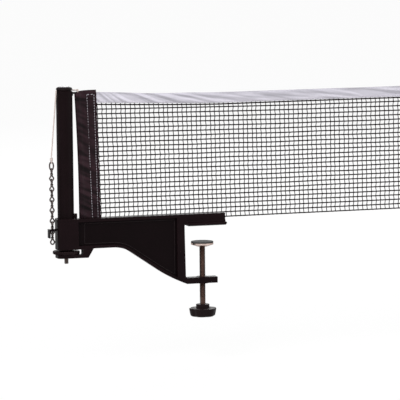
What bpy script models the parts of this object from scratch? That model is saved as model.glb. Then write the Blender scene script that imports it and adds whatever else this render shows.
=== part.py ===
"""Table tennis net clamp: screw clamp, post, tension chain and one end of the net.

Millimetre sizes are written with MM and give metres.  +X runs along the net towards
the middle of the table, +Y away from the player who looks at the front face, +Z up.
The origin lies on the clamp screw's axis, on the underside of the upper jaw's pad.
"""
import math

import bmesh
import bpy
from mathutils import Vector

MM = 0.001

# ---------------------------------------------------------------- clearances
SEAT_GAP = 0.3 * MM        # between pieces that rest on or sit in each other
RUNNING_GAP = 0.3 * MM     # radial, between a turning or sliding piece and its bore

# ---------------------------------------------------------------- bracket casting
POST_X = -161.6 * MM       # post axis, measured from the clamp screw's axis
POST_Y = 7.5 * MM          # the post and the net stand behind the arm
ARM_FRONT_Y = -6.5 * MM
ARM_BACK_Y = 5.0 * MM
ARM_TOP_Z = 13.3 * MM
ARM_BOTTOM_Z = -21.3 * MM
RIM_TOP = 3.5 * MM         # height of the rim above the recessed web
RIM_BOTTOM = 3.0 * MM
WEB_FRONT_RECESS = 4.0 * MM
WEB_BACK_RECESS = 3.0 * MM
HOUSING_WALL = 1.6 * MM    # metal round the guide bush
HOUSING_CORNER_R = 5.0 * MM
HOUSING_FLOOR = 3.8 * MM   # metal between the bush bore and the wheel slot
SLOT_TOP_Z = -21.9 * MM
FOOT_TOP_Z = -28.1 * MM
FOOT_BOTTOM_Z = -31.8 * MM
SLOT_END_FROM_POST = 17.0 * MM
FOOT_END_FROM_POST = 22.8 * MM
CHAMFER_END_FROM_POST = 29.1 * MM
RECESS_FROM_POST = 11.1 * MM   # front recess, from the post axis
UNDERSIDE_START_X = -108.5 * MM
UNDERSIDE_SLOPE = math.radians(34.3)
UNDERSIDE_END_SLOPE = math.radians(21.0)
UNDERSIDE_UPPER_R = 37.5 * MM
UNDERSIDE_LOWER_R = 168.0 * MM
SPINE_OUTER_X = -31.8 * MM
SPINE_INNER_TOP_X = -23.0 * MM
SPINE_INNER_BOTTOM_X = -22.0 * MM
SPINE_FILLET_R = 2.5 * MM
UPPER_BAR_END_X = 26.4 * MM
PLATE_START_X = -20.2 * MM
PLATE_END_X = 26.6 * MM
PLATE_DEPTH = 25.0 * MM
PLATE_THICKNESS = 2.1 * MM
PLATE_FILLET_R = 2.4 * MM
JAW_OPENING = 61.0 * MM    # table contact plane down to the lower jaw
LOWER_JAW_THICKNESS = 7.0 * MM
LOWER_JAW_END_X = 16.6 * MM
LOWER_BOSS_R = 7.0 * MM
LOWER_BOSS_RISE = 0.4 * MM

# ---------------------------------------------------------------- upper jaw pad
JAW_PAD_THICKNESS = 0.9 * MM
JAW_PAD_INSET = 0.5 * MM

# ---------------------------------------------------------------- post and its height screw
POST_R = 9.5 * MM
POST_WALL = 1.5 * MM
POST_TOP_Z = 159.9 * MM
POST_BOTTOM_Z = -13.0 * MM
BUSH_WALL = 1.0 * MM
BUSH_LUG_REACH = 13.0 * MM   # from the post axis to the lug's far side
BUSH_LUG_WIDTH = 5.0 * MM
BUSH_LUG_HEIGHT = 5.2 * MM
CAP_NECK_R = 7.6 * MM
CAP_NECK_HEIGHT = 2.1 * MM
CAP_HEAD_R = 8.8 * MM
CAP_EDGE_HEIGHT = 1.6 * MM
CAP_DOME_HEIGHT = 1.6 * MM
CAP_FLAT_R = 5.5 * MM
CAP_PLUG_LENGTH = 9.0 * MM
PLUG_LENGTH = 10.0 * MM
STUD_R = 2.5 * MM            # M5 x 0.8
STUD_SOCKET_DEPTH = 8.0 * MM
STUD_TIP_Z = -39.3 * MM
STUD_BUSH_R = 4.3 * MM
STUD_FLOOR_CLEARANCE = 0.5 * MM
WHEEL_R = 15.6 * MM
WHEEL_THICKNESS = 3.8 * MM
WHEEL_HUB_R = 8.0 * MM
WHEEL_NOTCHES = 36
WHEEL_NOTCH_DEPTH = 0.6 * MM
WHEEL_INSERT_R = 4.6 * MM

# ---------------------------------------------------------------- clamp screw
SCREW_R = 3.5 * MM           # M7 x 1
SCREW_TIP_R = 2.5 * MM
SCREW_TIP_HEAD_R = 3.4 * MM
SCREW_TIP_HEAD = 0.9 * MM
TABLE_THICKNESS = 19.2 * MM  # the screw stands as it does on this table top
PAD_R = 13.2 * MM
PAD_RIM = 1.0 * MM
PAD_RIM_HEIGHT = 1.9 * MM
PAD_CONE_HEIGHT = 2.5 * MM
PAD_FLOOR_R = 6.0 * MM
PAD_FLOOR = 1.4 * MM
PAD_FACING_THICKNESS = 1.3 * MM
PAD_FACING_INSET = 0.2 * MM
WASHER_R = 5.2 * MM
WASHER_THICKNESS = 0.8 * MM
SCREW_LENGTH = 77.0 * MM     # shoulder under the pad down to the end inside the knob
SCREW_FLAT_LENGTH = 8.0 * MM
SCREW_FLAT_DEPTH = 0.7 * MM
SCREW_END_GAP = 2.2 * MM     # from the screw's end down to the floor of the knob's socket
KNOB_HUB_R = 7.8 * MM
KNOB_HUB_HEIGHT = 4.3 * MM
KNOB_R = 15.9 * MM
KNOB_HEIGHT = 9.7 * MM
KNOB_LOBES = 6
KNOB_LOBE_DEPTH = 1.3 * MM
KNOB_POINTS = 72
KNOB_INSERT_R = 5.6 * MM
KNOB_SOCKET_FLOOR = 2.4 * MM

# ---------------------------------------------------------------- cord and chain
CORD_R = 0.75 * MM
CORD_OVERLAP = 3.9 * MM          # length that lies over the sleeve's corner
CORD_REACH = 6.0 * MM            # from the cap's groove out to the bend
CORD_BEND_R = 3.0 * MM
CORD_LEAVES_GROOVE_DEG = 160.0   # round the cap's neck, from +X by way of the back
CHAIN_X = -179.0 * MM
CHAIN_Y = 3.0 * MM
KNOT_R = 1.9 * MM
KNOT_HEIGHT = 4.5 * MM
WIRE_R = 0.7 * MM
LINK_COUNT = 7
LINK_PITCH = 12.25 * MM
LINK_HALF_WIDTH = 2.2 * MM       # to the wire's centre
LINK_END_HEIGHT = 3.0 * MM       # height of a loop's round end
LINK_WAIST_R = 0.92 * MM         # from the axis to each of the two twisted strands
LINK_WAIST_HALF = 1.7 * MM
LINK_TWIST_DEG = 270.0
RING_HALF_HEIGHT = 4.7 * MM
HOOK_PLATE = 1.4 * MM
HOOK_SLOT = 3.4 * MM
HOOK_BAR = 2.4 * MM
HOOK_SHELF_TOP_Z = 1.8 * MM
HOOK_TAIL_Z = -8.2 * MM
HOOK_BACK_Y = 7.2 * MM
HOOK_TIP_GAP = 2.9 * MM          # way in for the chain, between hook tip and housing

# ---------------------------------------------------------------- net
NET_Y = POST_Y
NET_TOP_Z = 152.5 * MM           # top of the tape over the table
NET_BOTTOM_Z = 9.0 * MM
TAPE_RISE = 4.9 * MM             # how much higher the tape is at the post
TAPE_LEVEL_X = 24.7 * MM         # where the tape has come down to its level height
TAPE_HEIGHT = 11.8 * MM
TAPE_THICKNESS = 2.4 * MM
MESH_THICKNESS = 1.0 * MM
MESH_BAR = 1.5 * MM
MESH_COLUMNS = 22
MESH_ROWS = 9
SLEEVE_THICKNESS = 4.0 * MM
SLEEVE_WIDTH = 25.5 * MM
SLEEVE_FOOT_Z = 7.6 * MM
SLEEVE_TOP_Z = 159.0 * MM
SLEEVE_CROWN = 1.0 * MM
SLEEVE_FOOT_X = -145.4 * MM      # outer lower corner
SLEEVE_LEAN = 4.0 * MM           # outer upper corner stands this much nearer the post
ROD_R = 1.2 * MM
ROD_INSET = 3.8 * MM
NET_END_X = 258.0 * MM
FAR_LOOP_R = 5.0 * MM

# ---------------------------------------------------------------- derived places
BUSH_BORE_R = POST_R + RUNNING_GAP
BUSH_R = BUSH_BORE_R + BUSH_WALL
HOUSING_BORE_R = BUSH_R + SEAT_GAP
HOUSING_HALF_WIDTH = HOUSING_BORE_R + HOUSING_WALL
HOUSING_LEFT_X = POST_X - HOUSING_HALF_WIDTH
HOUSING_RIGHT_X = POST_X + HOUSING_HALF_WIDTH
HOUSING_BACK_Y = POST_Y + HOUSING_HALF_WIDTH
BORE_FLOOR_Z = SLOT_TOP_Z + HOUSING_FLOOR
PLATE_BOTTOM_Z = JAW_PAD_THICKNESS + SEAT_GAP
PLATE_TOP_Z = PLATE_BOTTOM_Z + PLATE_THICKNESS
LOWER_JAW_TOP_Z = -JAW_OPENING
LOWER_JAW_BOTTOM_Z = LOWER_JAW_TOP_Z - LOWER_JAW_THICKNESS
FACING_TOP_Z = -TABLE_THICKNESS - SEAT_GAP
FACING_BOTTOM_Z = FACING_TOP_Z - PAD_FACING_THICKNESS
PAD_TOP_Z = FACING_BOTTOM_Z - SEAT_GAP
PAD_BOTTOM_Z = PAD_TOP_Z - PAD_RIM_HEIGHT - PAD_CONE_HEIGHT
PAD_FLOOR_Z = PAD_BOTTOM_Z + PAD_FLOOR
SCREW_SHOULDER_Z = PAD_BOTTOM_Z - SEAT_GAP
SCREW_END_Z = SCREW_SHOULDER_Z - SCREW_LENGTH
KNOB_BOTTOM_Z = SCREW_END_Z - SCREW_END_GAP - KNOB_SOCKET_FLOOR
KNOB_BODY_TOP_Z = KNOB_BOTTOM_Z + KNOB_HEIGHT
KNOB_TOP_Z = KNOB_BODY_TOP_Z + KNOB_HUB_HEIGHT
GROOVE_Z = POST_TOP_Z + CAP_NECK_HEIGHT / 2
CORD_WRAP_R = CAP_NECK_R + SEAT_GAP + CORD_R
LINK_HALF_HEIGHT = (LINK_PITCH + 2 * WIRE_R + SEAT_GAP) / 2
HOOK_SHELF_BOTTOM_Z = HOOK_SHELF_TOP_Z - HOOK_BAR
LAST_LINK_Z = HOOK_SHELF_BOTTOM_Z - SEAT_GAP - WIRE_R - LINK_HALF_HEIGHT
FIRST_LINK_Z = LAST_LINK_Z + (LINK_COUNT - 1) * LINK_PITCH
RING_Z = FIRST_LINK_Z + LINK_HALF_HEIGHT - 2 * WIRE_R - SEAT_GAP + RING_HALF_HEIGHT
KNOT_BOTTOM_Z = RING_Z + RING_HALF_HEIGHT + WIRE_R + SEAT_GAP

SEGMENTS = 48              # of a large round piece
FEW_SEGMENTS = 24          # of a small one
SHARP_ANGLE = math.radians(35)


# ---------------------------------------------------------------- tools
def clear_scene():
    """Remove every object that the file already holds."""
    for old in list(bpy.data.objects):
        bpy.data.objects.remove(old, do_unlink=True)


def make_material(name, colour, metallic=0.0, roughness=0.5):
    """Return a Principled material with one colour."""
    material = bpy.data.materials.new(name)
    material.use_nodes = True
    shader = material.node_tree.nodes["Principled BSDF"]
    shader.inputs["Base Color"].default_value = (*colour, 1.0)
    shader.inputs["Metallic"].default_value = metallic
    shader.inputs["Roughness"].default_value = roughness
    material.diffuse_color = (*colour, 1.0)
    return material


def make_axis(name, location, parent=None):
    """Return an empty that stands on a joint's axis and carries what moves with it."""
    empty = bpy.data.objects.new(name, None)
    empty.location = location
    if parent:
        empty.parent = parent
        empty.location = Vector(location) - parent.matrix_world.translation
    bpy.context.collection.objects.link(empty)
    bpy.context.view_layer.update()
    return empty


def add_piece(name, data, material, parent=None, at=(0, 0, 0)):
    """Link mesh or curve data as one named piece whose local origin lies at a world point."""
    data.materials.append(material)
    piece = bpy.data.objects.new(name, data)
    bpy.context.collection.objects.link(piece)
    piece.location = at
    if parent:
        piece.parent = parent
        piece.location = Vector(at) - parent.matrix_world.translation
    bpy.context.view_layer.update()
    return piece


def finish_mesh(bm, name):
    """Turn a bmesh into smooth mesh data with outward faces and sharp corners kept."""
    bmesh.ops.recalc_face_normals(bm, faces=bm.faces)
    mesh = bpy.data.meshes.new(name)
    bm.to_mesh(mesh)
    bm.free()
    mesh.shade_smooth()
    mesh.set_sharp_from_angle(angle=SHARP_ANGLE)
    return mesh


def prism(name, outline, low, high, axis="Y"):
    """Extrude a closed outline along an axis; its points are the two other coordinates."""
    places = {"X": lambda p, h: (h, p[0], p[1]),
              "Y": lambda p, h: (p[0], h, p[1]),
              "Z": lambda p, h: (p[0], p[1], h)}
    place = places[axis]
    bm = bmesh.new()
    base = bm.faces.new([bm.verts.new(place(point, low)) for point in outline])
    grown = bmesh.ops.extrude_face_region(bm, geom=[base])
    top = [item for item in grown["geom"] if isinstance(item, bmesh.types.BMVert)]
    move = Vector(place((0, 0), high)) - Vector(place((0, 0), low))
    bmesh.ops.translate(bm, verts=top, vec=move)
    return finish_mesh(bm, name)


def turned(name, profile, segments=SEGMENTS):
    """Spin a closed profile of (radius, height) points round the local Z axis."""
    bm = bmesh.new()
    points = [bm.verts.new((radius, 0, height)) for radius, height in profile]
    for here, there in zip(points, points[1:] + points[:1]):
        if here.co.x > 0 or there.co.x > 0:
            bm.edges.new((here, there))
    bmesh.ops.spin(bm, geom=bm.verts[:] + bm.edges[:], axis=(0, 0, 1), cent=(0, 0, 0),
                   angle=math.tau, steps=segments, use_merge=True)
    bmesh.ops.remove_doubles(bm, verts=bm.verts, dist=1e-7)
    return finish_mesh(bm, name)


def lofted(name, loops):
    """Bridge closed loops of equal length into one solid with flat ends."""
    bm = bmesh.new()
    rings = [[bm.verts.new(point) for point in loop] for loop in loops]
    for lower, upper in zip(rings, rings[1:]):
        for index, vert in enumerate(lower):
            after = (index + 1) % len(lower)
            bm.faces.new((vert, lower[after], upper[after], upper[index]))
    bm.faces.new(rings[0])
    bm.faces.new(rings[-1])
    return finish_mesh(bm, name)


def tube_curve(name, points, radius, sides, cyclic=False):
    """Return a round tube through the points, as curve data with filled ends."""
    curve = bpy.data.curves.new(name, "CURVE")
    curve.dimensions = "3D"
    curve.bevel_depth = radius
    curve.bevel_resolution = sides
    curve.use_fill_caps = not cyclic
    spline = curve.splines.new("POLY")
    spline.points.add(len(points) - 1)
    for slot, point in zip(spline.points, points):
        slot.co = (*point, 1.0)
    spline.use_cyclic_u = cyclic
    return curve


def guide(name, mesh, at=(0, 0, 0)):
    """Link a helper solid that a Boolean reads and nothing else shows."""
    helper = bpy.data.objects.new(name, mesh)
    helper.location = at
    helper.hide_render = True
    helper.display_type = "WIRE"
    bpy.context.collection.objects.link(helper)
    return helper


def combine(piece, helper, operation):
    """Add or cut a helper solid; cutters move with the piece that they cut."""
    if piece.parent:
        helper.parent = piece.parent
        helper.location = helper.location - piece.parent.matrix_world.translation
    modifier = piece.modifiers.new(helper.name, "BOOLEAN")
    modifier.operation = operation
    modifier.solver = "EXACT"
    modifier.object = helper


def arc(centre, radius, start, end, steps):
    """Points of a circular arc, angles in degrees."""
    points = []
    for index in range(steps + 1):
        angle = math.radians(start + (end - start) * index / steps)
        points.append((centre[0] + radius * math.cos(angle),
                       centre[1] + radius * math.sin(angle)))
    return points


def rectangle(low, high, corner=0.0, steps=6):
    """Outline of a rectangle with rounded corners."""
    if corner == 0:
        return [(low[0], low[1]), (high[0], low[1]), (high[0], high[1]), (low[0], high[1])]
    outline = arc((low[0] + corner, low[1] + corner), corner, 180, 270, steps)
    outline += arc((high[0] - corner, low[1] + corner), corner, 270, 360, steps)
    outline += arc((high[0] - corner, high[1] - corner), corner, 0, 90, steps)
    outline += arc((low[0] + corner, high[1] - corner), corner, 90, 180, steps)
    return outline


def box(name, low, high):
    """A plain block between two corners."""
    return prism(name, rectangle(low[:2], high[:2]), low[2], high[2], "Z")


def cylinder(name, radius, low, high, segments=SEGMENTS):
    """A plain turned bar."""
    return turned(name, [(0, low), (radius, low), (radius, high), (0, high)], segments)


# ---------------------------------------------------------------- materials
def make_materials():
    """One material for each finish on the object."""
    return {
        "paint": make_material("black_paint", (0.012, 0.010, 0.011), 0.2, 0.35),
        "plastic": make_material("black_plastic", (0.015, 0.014, 0.015), 0.0, 0.45),
        "rubber": make_material("black_rubber", (0.02, 0.02, 0.02), 0.0, 0.9),
        "plated": make_material("plated_steel", (0.56, 0.40, 0.32), 1.0, 0.35),
        "brass": make_material("brass", (0.62, 0.47, 0.22), 1.0, 0.35),
        "pad": make_material("pad_steel", (0.72, 0.60, 0.54), 1.0, 0.4),
        "chain": make_material("bright_steel", (0.75, 0.75, 0.76), 1.0, 0.25),
        "cord": make_material("pale_cord", (0.80, 0.78, 0.74), 0.0, 0.8),
        "sleeve": make_material("dark_satin", (0.045, 0.025, 0.030), 0.0, 0.5),
        "tape": make_material("pale_tape", (0.72, 0.72, 0.78), 0.0, 0.8),
        "mesh": make_material("net_thread", (0.02, 0.018, 0.02), 0.0, 0.8),
        "rod": make_material("glass_fibre", (0.70, 0.68, 0.55), 0.0, 0.5),
    }


# ---------------------------------------------------------------- bracket
def underside(inset=0.0, steps=8):
    """The arm's curved underside from the arm to the lower jaw, moved inwards by inset."""
    points = []
    turn = UNDERSIDE_SLOPE
    centre = (UNDERSIDE_START_X, ARM_BOTTOM_Z - UNDERSIDE_UPPER_R)
    for index in range(steps + 1):
        angle = turn * index / steps
        reach = UNDERSIDE_UPPER_R + inset
        points.append((centre[0] + reach * math.sin(angle), centre[1] + reach * math.cos(angle)))
    outer = (centre[0] + UNDERSIDE_UPPER_R * math.sin(turn),
             centre[1] + UNDERSIDE_UPPER_R * math.cos(turn))
    lower_drop = UNDERSIDE_LOWER_R * (math.cos(UNDERSIDE_END_SLOPE) - math.cos(turn))
    straight_drop = outer[1] - LOWER_JAW_BOTTOM_Z - lower_drop
    straight_end = (outer[0] + straight_drop / math.tan(turn), outer[1] - straight_drop)
    centre = (straight_end[0] + UNDERSIDE_LOWER_R * math.sin(turn),
              straight_end[1] + UNDERSIDE_LOWER_R * math.cos(turn))
    for index in range(steps + 1):
        angle = turn + (UNDERSIDE_END_SLOPE - turn) * index / steps
        reach = UNDERSIDE_LOWER_R - inset
        points.append((centre[0] - reach * math.sin(angle), centre[1] - reach * math.cos(angle)))
    return points


def casting_outline():
    """Front view of the arm, the spine and both jaws as one closed outline."""
    bar_bottom = PLATE_BOTTOM_Z + PLATE_THICKNESS / 2
    fillet = SPINE_FILLET_R
    outline = [(POST_X, ARM_TOP_Z), (UPPER_BAR_END_X, ARM_TOP_Z), (UPPER_BAR_END_X, bar_bottom)]
    outline += arc((SPINE_INNER_TOP_X + fillet, bar_bottom - fillet), fillet, 90, 180, 5)
    outline += arc((SPINE_INNER_BOTTOM_X + fillet, LOWER_JAW_TOP_Z + fillet), fillet, 180, 270, 5)
    outline += [(LOWER_JAW_END_X, LOWER_JAW_TOP_Z), (LOWER_JAW_END_X, LOWER_JAW_BOTTOM_Z)]
    outline += reversed(underside())
    outline += [(POST_X + CHAMFER_END_FROM_POST, ARM_BOTTOM_Z),
                (POST_X + FOOT_END_FROM_POST, FOOT_BOTTOM_Z), (POST_X, FOOT_BOTTOM_Z)]
    return outline


def recess_outline(left):
    """Front view of the recessed web from a left end to the spine."""
    outline = [(left, ARM_TOP_Z - RIM_TOP), (left, ARM_BOTTOM_Z + RIM_BOTTOM)]
    curve = [point for point in underside(RIM_BOTTOM) if point[0] < SPINE_OUTER_X]
    outline += curve
    before, after = curve[-1], underside(RIM_BOTTOM)[len(curve)]
    share = (SPINE_OUTER_X - before[0]) / (after[0] - before[0])
    outline += [(SPINE_OUTER_X, before[1] + share * (after[1] - before[1])),
                (SPINE_OUTER_X, ARM_TOP_Z - RIM_TOP)]
    return outline


def housing_outline():
    """Plan of the housing: round behind the post, flat in front with rounded corners."""
    corner = HOUSING_CORNER_R
    outline = arc((HOUSING_LEFT_X + corner, ARM_FRONT_Y + corner), corner, 180, 270, 6)
    outline += arc((HOUSING_RIGHT_X - corner, ARM_FRONT_Y + corner), corner, 270, 360, 6)
    outline += arc((POST_X, POST_Y), HOUSING_HALF_WIDTH, 0, 180, 20)
    return outline


def jaw_plate_section():
    """Side view of the table plate under the upper bar, with a fillet on both sides."""
    half = PLATE_DEPTH / 2
    fillet = PLATE_FILLET_R
    section = [(-half, PLATE_BOTTOM_Z), (half, PLATE_BOTTOM_Z), (half, PLATE_TOP_Z)]
    section += arc((ARM_BACK_Y + fillet, PLATE_TOP_Z + fillet), fillet, 270, 180, 4)
    section += arc((ARM_FRONT_Y - fillet, PLATE_TOP_Z + fillet), fillet, 0, -90, 4)
    section += [(-half, PLATE_TOP_Z)]
    return section


def hook_outline():
    """Plan of the chain hook: out from the housing, forwards, and back over the chain."""
    outer = CHAIN_X - LINK_HALF_WIDTH - WIRE_R - SEAT_GAP - HOOK_PLATE
    inner = outer + HOOK_PLATE
    slot_back = CHAIN_Y + HOOK_SLOT / 2
    slot_front = CHAIN_Y - HOOK_SLOT / 2
    tip = HOUSING_LEFT_X - HOOK_TIP_GAP
    root = HOUSING_LEFT_X + HOUSING_WALL / 2
    return [(root, HOOK_BACK_Y), (outer, HOOK_BACK_Y), (outer, slot_front - HOOK_BAR),
            (tip, slot_front - HOOK_BAR), (tip, slot_front), (inner, slot_front),
            (inner, slot_back), (root, slot_back)]


def hook_tail_outline():
    """Plan of the guard that hangs from the hook's outer edge."""
    outer = CHAIN_X - LINK_HALF_WIDTH - WIRE_R - SEAT_GAP - HOOK_PLATE
    low = (outer, CHAIN_Y - HOOK_SLOT / 2 - HOOK_BAR)
    return rectangle(low, (outer + HOOK_PLATE, HOOK_BACK_Y))


def build_casting(paint):
    """The one-piece bracket: housing, arm, spine, jaws and chain hook."""
    body = prism("bracket_casting", casting_outline(), ARM_FRONT_Y, ARM_BACK_Y)
    casting = add_piece("bracket_casting", body, paint)
    added = [
        guide("housing", prism("housing", housing_outline(), FOOT_BOTTOM_Z, ARM_TOP_Z, "Z")),
        guide("jaw_plate", prism("jaw_plate", jaw_plate_section(), PLATE_START_X,
                                 PLATE_END_X, "X")),
        guide("jaw_boss", cylinder("jaw_boss", LOWER_BOSS_R, LOWER_JAW_BOTTOM_Z - LOWER_BOSS_RISE,
                                   LOWER_JAW_TOP_Z + LOWER_BOSS_RISE)),
        guide("hook_shelf", prism("hook_shelf", hook_outline(), HOOK_SHELF_BOTTOM_Z,
                                  HOOK_SHELF_TOP_Z, "Z")),
        guide("hook_tail", prism("hook_tail", hook_tail_outline(), HOOK_TAIL_Z,
                                 HOOK_SHELF_TOP_Z - HOOK_BAR / 2, "Z")),
    ]
    for helper in added:
        combine(casting, helper, "UNION")

    post = (POST_X, POST_Y, 0)
    beyond = HOUSING_BACK_Y - ARM_FRONT_Y
    slot_low = (HOUSING_LEFT_X - beyond, ARM_FRONT_Y - beyond, FOOT_TOP_Z)
    slot_high = (POST_X + SLOT_END_FROM_POST, HOUSING_BACK_Y + beyond, SLOT_TOP_Z)
    front_web = ARM_FRONT_Y + WEB_FRONT_RECESS
    back_web = ARM_BACK_Y - WEB_BACK_RECESS
    stud_hole = STUD_R + STUD_FLOOR_CLEARANCE
    bore = [(0, SLOT_TOP_Z - SEAT_GAP), (stud_hole, SLOT_TOP_Z - SEAT_GAP),
            (stud_hole, BORE_FLOOR_Z), (HOUSING_BORE_R, BORE_FLOOR_Z),
            (HOUSING_BORE_R, ARM_TOP_Z + beyond), (0, ARM_TOP_Z + beyond)]
    removed = [
        guide("front_recess", prism("front_recess", recess_outline(POST_X + RECESS_FROM_POST),
                                    ARM_FRONT_Y - beyond, front_web)),
        guide("back_recess", prism("back_recess", recess_outline(HOUSING_RIGHT_X + HOUSING_WALL),
                                   back_web, ARM_BACK_Y + beyond)),
        guide("wheel_slot", box("wheel_slot", slot_low, slot_high)),
        guide("housing_bore", turned("housing_bore", bore), post),
        guide("stud_bush_hole", cylinder("stud_bush_hole", STUD_BUSH_R + SEAT_GAP,
                                         FOOT_BOTTOM_Z - beyond, FOOT_TOP_Z + SEAT_GAP,
                                         FEW_SEGMENTS), post),
        guide("screw_hole", cylinder("screw_hole", SCREW_R + RUNNING_GAP,
                                     LOWER_JAW_BOTTOM_Z - beyond, LOWER_JAW_TOP_Z + beyond / 2,
                                     FEW_SEGMENTS)),
    ]
    for helper in removed:
        combine(casting, helper, "DIFFERENCE")
    return casting


def build_jaw_pad(rubber):
    """Rubber facing under the table plate."""
    half = PLATE_DEPTH / 2 - JAW_PAD_INSET
    outline = rectangle((PLATE_START_X + JAW_PAD_INSET, -half),
                        (PLATE_END_X - JAW_PAD_INSET, half), 2 * JAW_PAD_INSET, 3)
    add_piece("jaw_pad", prism("jaw_pad", outline, 0.0, JAW_PAD_THICKNESS, "Z"), rubber)


# ---------------------------------------------------------------- post group
def build_guide_bush(plastic):
    """Plastic bush that guides the post, with a locating lug on its right."""
    post = (POST_X, POST_Y, 0)
    bottom = BORE_FLOOR_Z + SEAT_GAP
    profile = [(BUSH_R, bottom), (BUSH_R, ARM_TOP_Z), (BUSH_BORE_R, ARM_TOP_Z),
               (BUSH_BORE_R, bottom)]
    bush = add_piece("post_guide_bush", turned("post_guide_bush", profile), plastic, None, post)
    inner = BUSH_BORE_R + SEAT_GAP / 2
    half = BUSH_LUG_WIDTH / 2
    lug_low = (POST_X + inner, POST_Y - half, ARM_TOP_Z + SEAT_GAP)
    lug_high = (POST_X + BUSH_LUG_REACH, POST_Y + half, ARM_TOP_Z + BUSH_LUG_HEIGHT)
    root_low = (POST_X + inner, POST_Y - half + SEAT_GAP, ARM_TOP_Z - BUSH_LUG_HEIGHT / 2)
    root_high = (POST_X + BUSH_R - SEAT_GAP / 2, POST_Y + half - SEAT_GAP,
                 ARM_TOP_Z + BUSH_LUG_HEIGHT / 2)
    combine(bush, guide("bush_lug", box("bush_lug", lug_low, lug_high)), "UNION")
    combine(bush, guide("bush_lug_root", box("bush_lug_root", root_low, root_high)), "UNION")
    return bush


def build_stud_bush(brass):
    """Bush in the foot plate that guides the adjusting stud."""
    profile = [(STUD_BUSH_R, FOOT_BOTTOM_Z), (STUD_BUSH_R, FOOT_TOP_Z),
               (STUD_R + RUNNING_GAP, FOOT_TOP_Z), (STUD_R + RUNNING_GAP, FOOT_BOTTOM_Z)]
    add_piece("stud_bush", turned("stud_bush", profile, FEW_SEGMENTS), brass, None,
              (POST_X, POST_Y, 0))


def notched_circle(radius, depth, notches, height):
    """Loop of a rim with shallow square notches all round."""
    loop = []
    for index in range(notches):
        for share, level in ((0.0, radius), (0.5, radius), (0.56, radius - depth),
                             (0.94, radius - depth)):
            angle = math.tau * (index + share) / notches
            loop.append((level * math.cos(angle), level * math.sin(angle), height))
    return loop


def build_wheel(axis, plastic, brass):
    """Thumbwheel in the foot's slot, with its threaded insert."""
    wheel_bottom = FOOT_TOP_Z + SEAT_GAP
    wheel_top = wheel_bottom + WHEEL_THICKNESS
    hub_top = SLOT_TOP_Z - SEAT_GAP
    post = (POST_X, POST_Y, 0)
    rim = [notched_circle(WHEEL_R, WHEEL_NOTCH_DEPTH, WHEEL_NOTCHES, height)
           for height in (wheel_bottom, wheel_top)]
    wheel = add_piece("thumbwheel", lofted("thumbwheel", rim), plastic, axis, post)
    hub = cylinder("wheel_hub", WHEEL_HUB_R, wheel_top - WHEEL_THICKNESS / 2, hub_top)
    combine(wheel, guide("wheel_hub", hub, post), "UNION")
    bore = cylinder("wheel_bore", WHEEL_INSERT_R + SEAT_GAP, wheel_bottom - WHEEL_THICKNESS,
                    hub_top + WHEEL_THICKNESS, FEW_SEGMENTS)
    combine(wheel, guide("wheel_bore", bore, post), "DIFFERENCE")
    profile = [(WHEEL_INSERT_R, wheel_bottom), (WHEEL_INSERT_R, hub_top),
               (STUD_R + RUNNING_GAP, hub_top), (STUD_R + RUNNING_GAP, wheel_bottom)]
    add_piece("wheel_insert", turned("wheel_insert", profile, FEW_SEGMENTS), brass, axis, post)


def build_post(axis, materials):
    """Tube, cap with its cord groove, bottom plug and adjusting stud."""
    post = (POST_X, POST_Y, 0)
    bore = POST_R - POST_WALL
    profile = [(POST_R, POST_BOTTOM_Z), (POST_R, POST_TOP_Z), (bore, POST_TOP_Z),
               (bore, POST_BOTTOM_Z)]
    add_piece("post_tube", turned("post_tube", profile), materials["paint"], axis, post)

    neck_bottom = POST_TOP_Z + SEAT_GAP / 2
    neck_top = POST_TOP_Z + CAP_NECK_HEIGHT
    edge_top = neck_top + CAP_EDGE_HEIGHT
    plug_r = bore - SEAT_GAP
    profile = [(0, POST_TOP_Z - CAP_PLUG_LENGTH), (plug_r, POST_TOP_Z - CAP_PLUG_LENGTH),
               (plug_r, neck_bottom), (CAP_NECK_R, neck_bottom), (CAP_NECK_R, neck_top),
               (CAP_HEAD_R, neck_top), (CAP_HEAD_R, edge_top)]
    for step in (0.35, 0.7, 1.0):
        radius = CAP_HEAD_R + (CAP_FLAT_R - CAP_HEAD_R) * step
        profile.append((radius, edge_top + CAP_DOME_HEIGHT * math.sin(step * math.pi / 2)))
    profile.append((0, edge_top + CAP_DOME_HEIGHT))
    add_piece("post_cap", turned("post_cap", profile), materials["plastic"], axis, post)

    plug_top = POST_BOTTOM_Z + PLUG_LENGTH
    socket = STUD_R + SEAT_GAP
    socket_top = POST_BOTTOM_Z + STUD_SOCKET_DEPTH + SEAT_GAP
    profile = [(0, plug_top), (plug_r, plug_top), (plug_r, POST_BOTTOM_Z),
               (socket, POST_BOTTOM_Z), (socket, socket_top), (0, socket_top)]
    add_piece("post_plug", turned("post_plug", profile), materials["plastic"], axis, post)
    stud = cylinder("adjusting_stud", STUD_R, STUD_TIP_Z, POST_BOTTOM_Z + STUD_SOCKET_DEPTH,
                    FEW_SEGMENTS)
    add_piece("adjusting_stud", stud, materials["plated"], axis, post)


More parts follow.
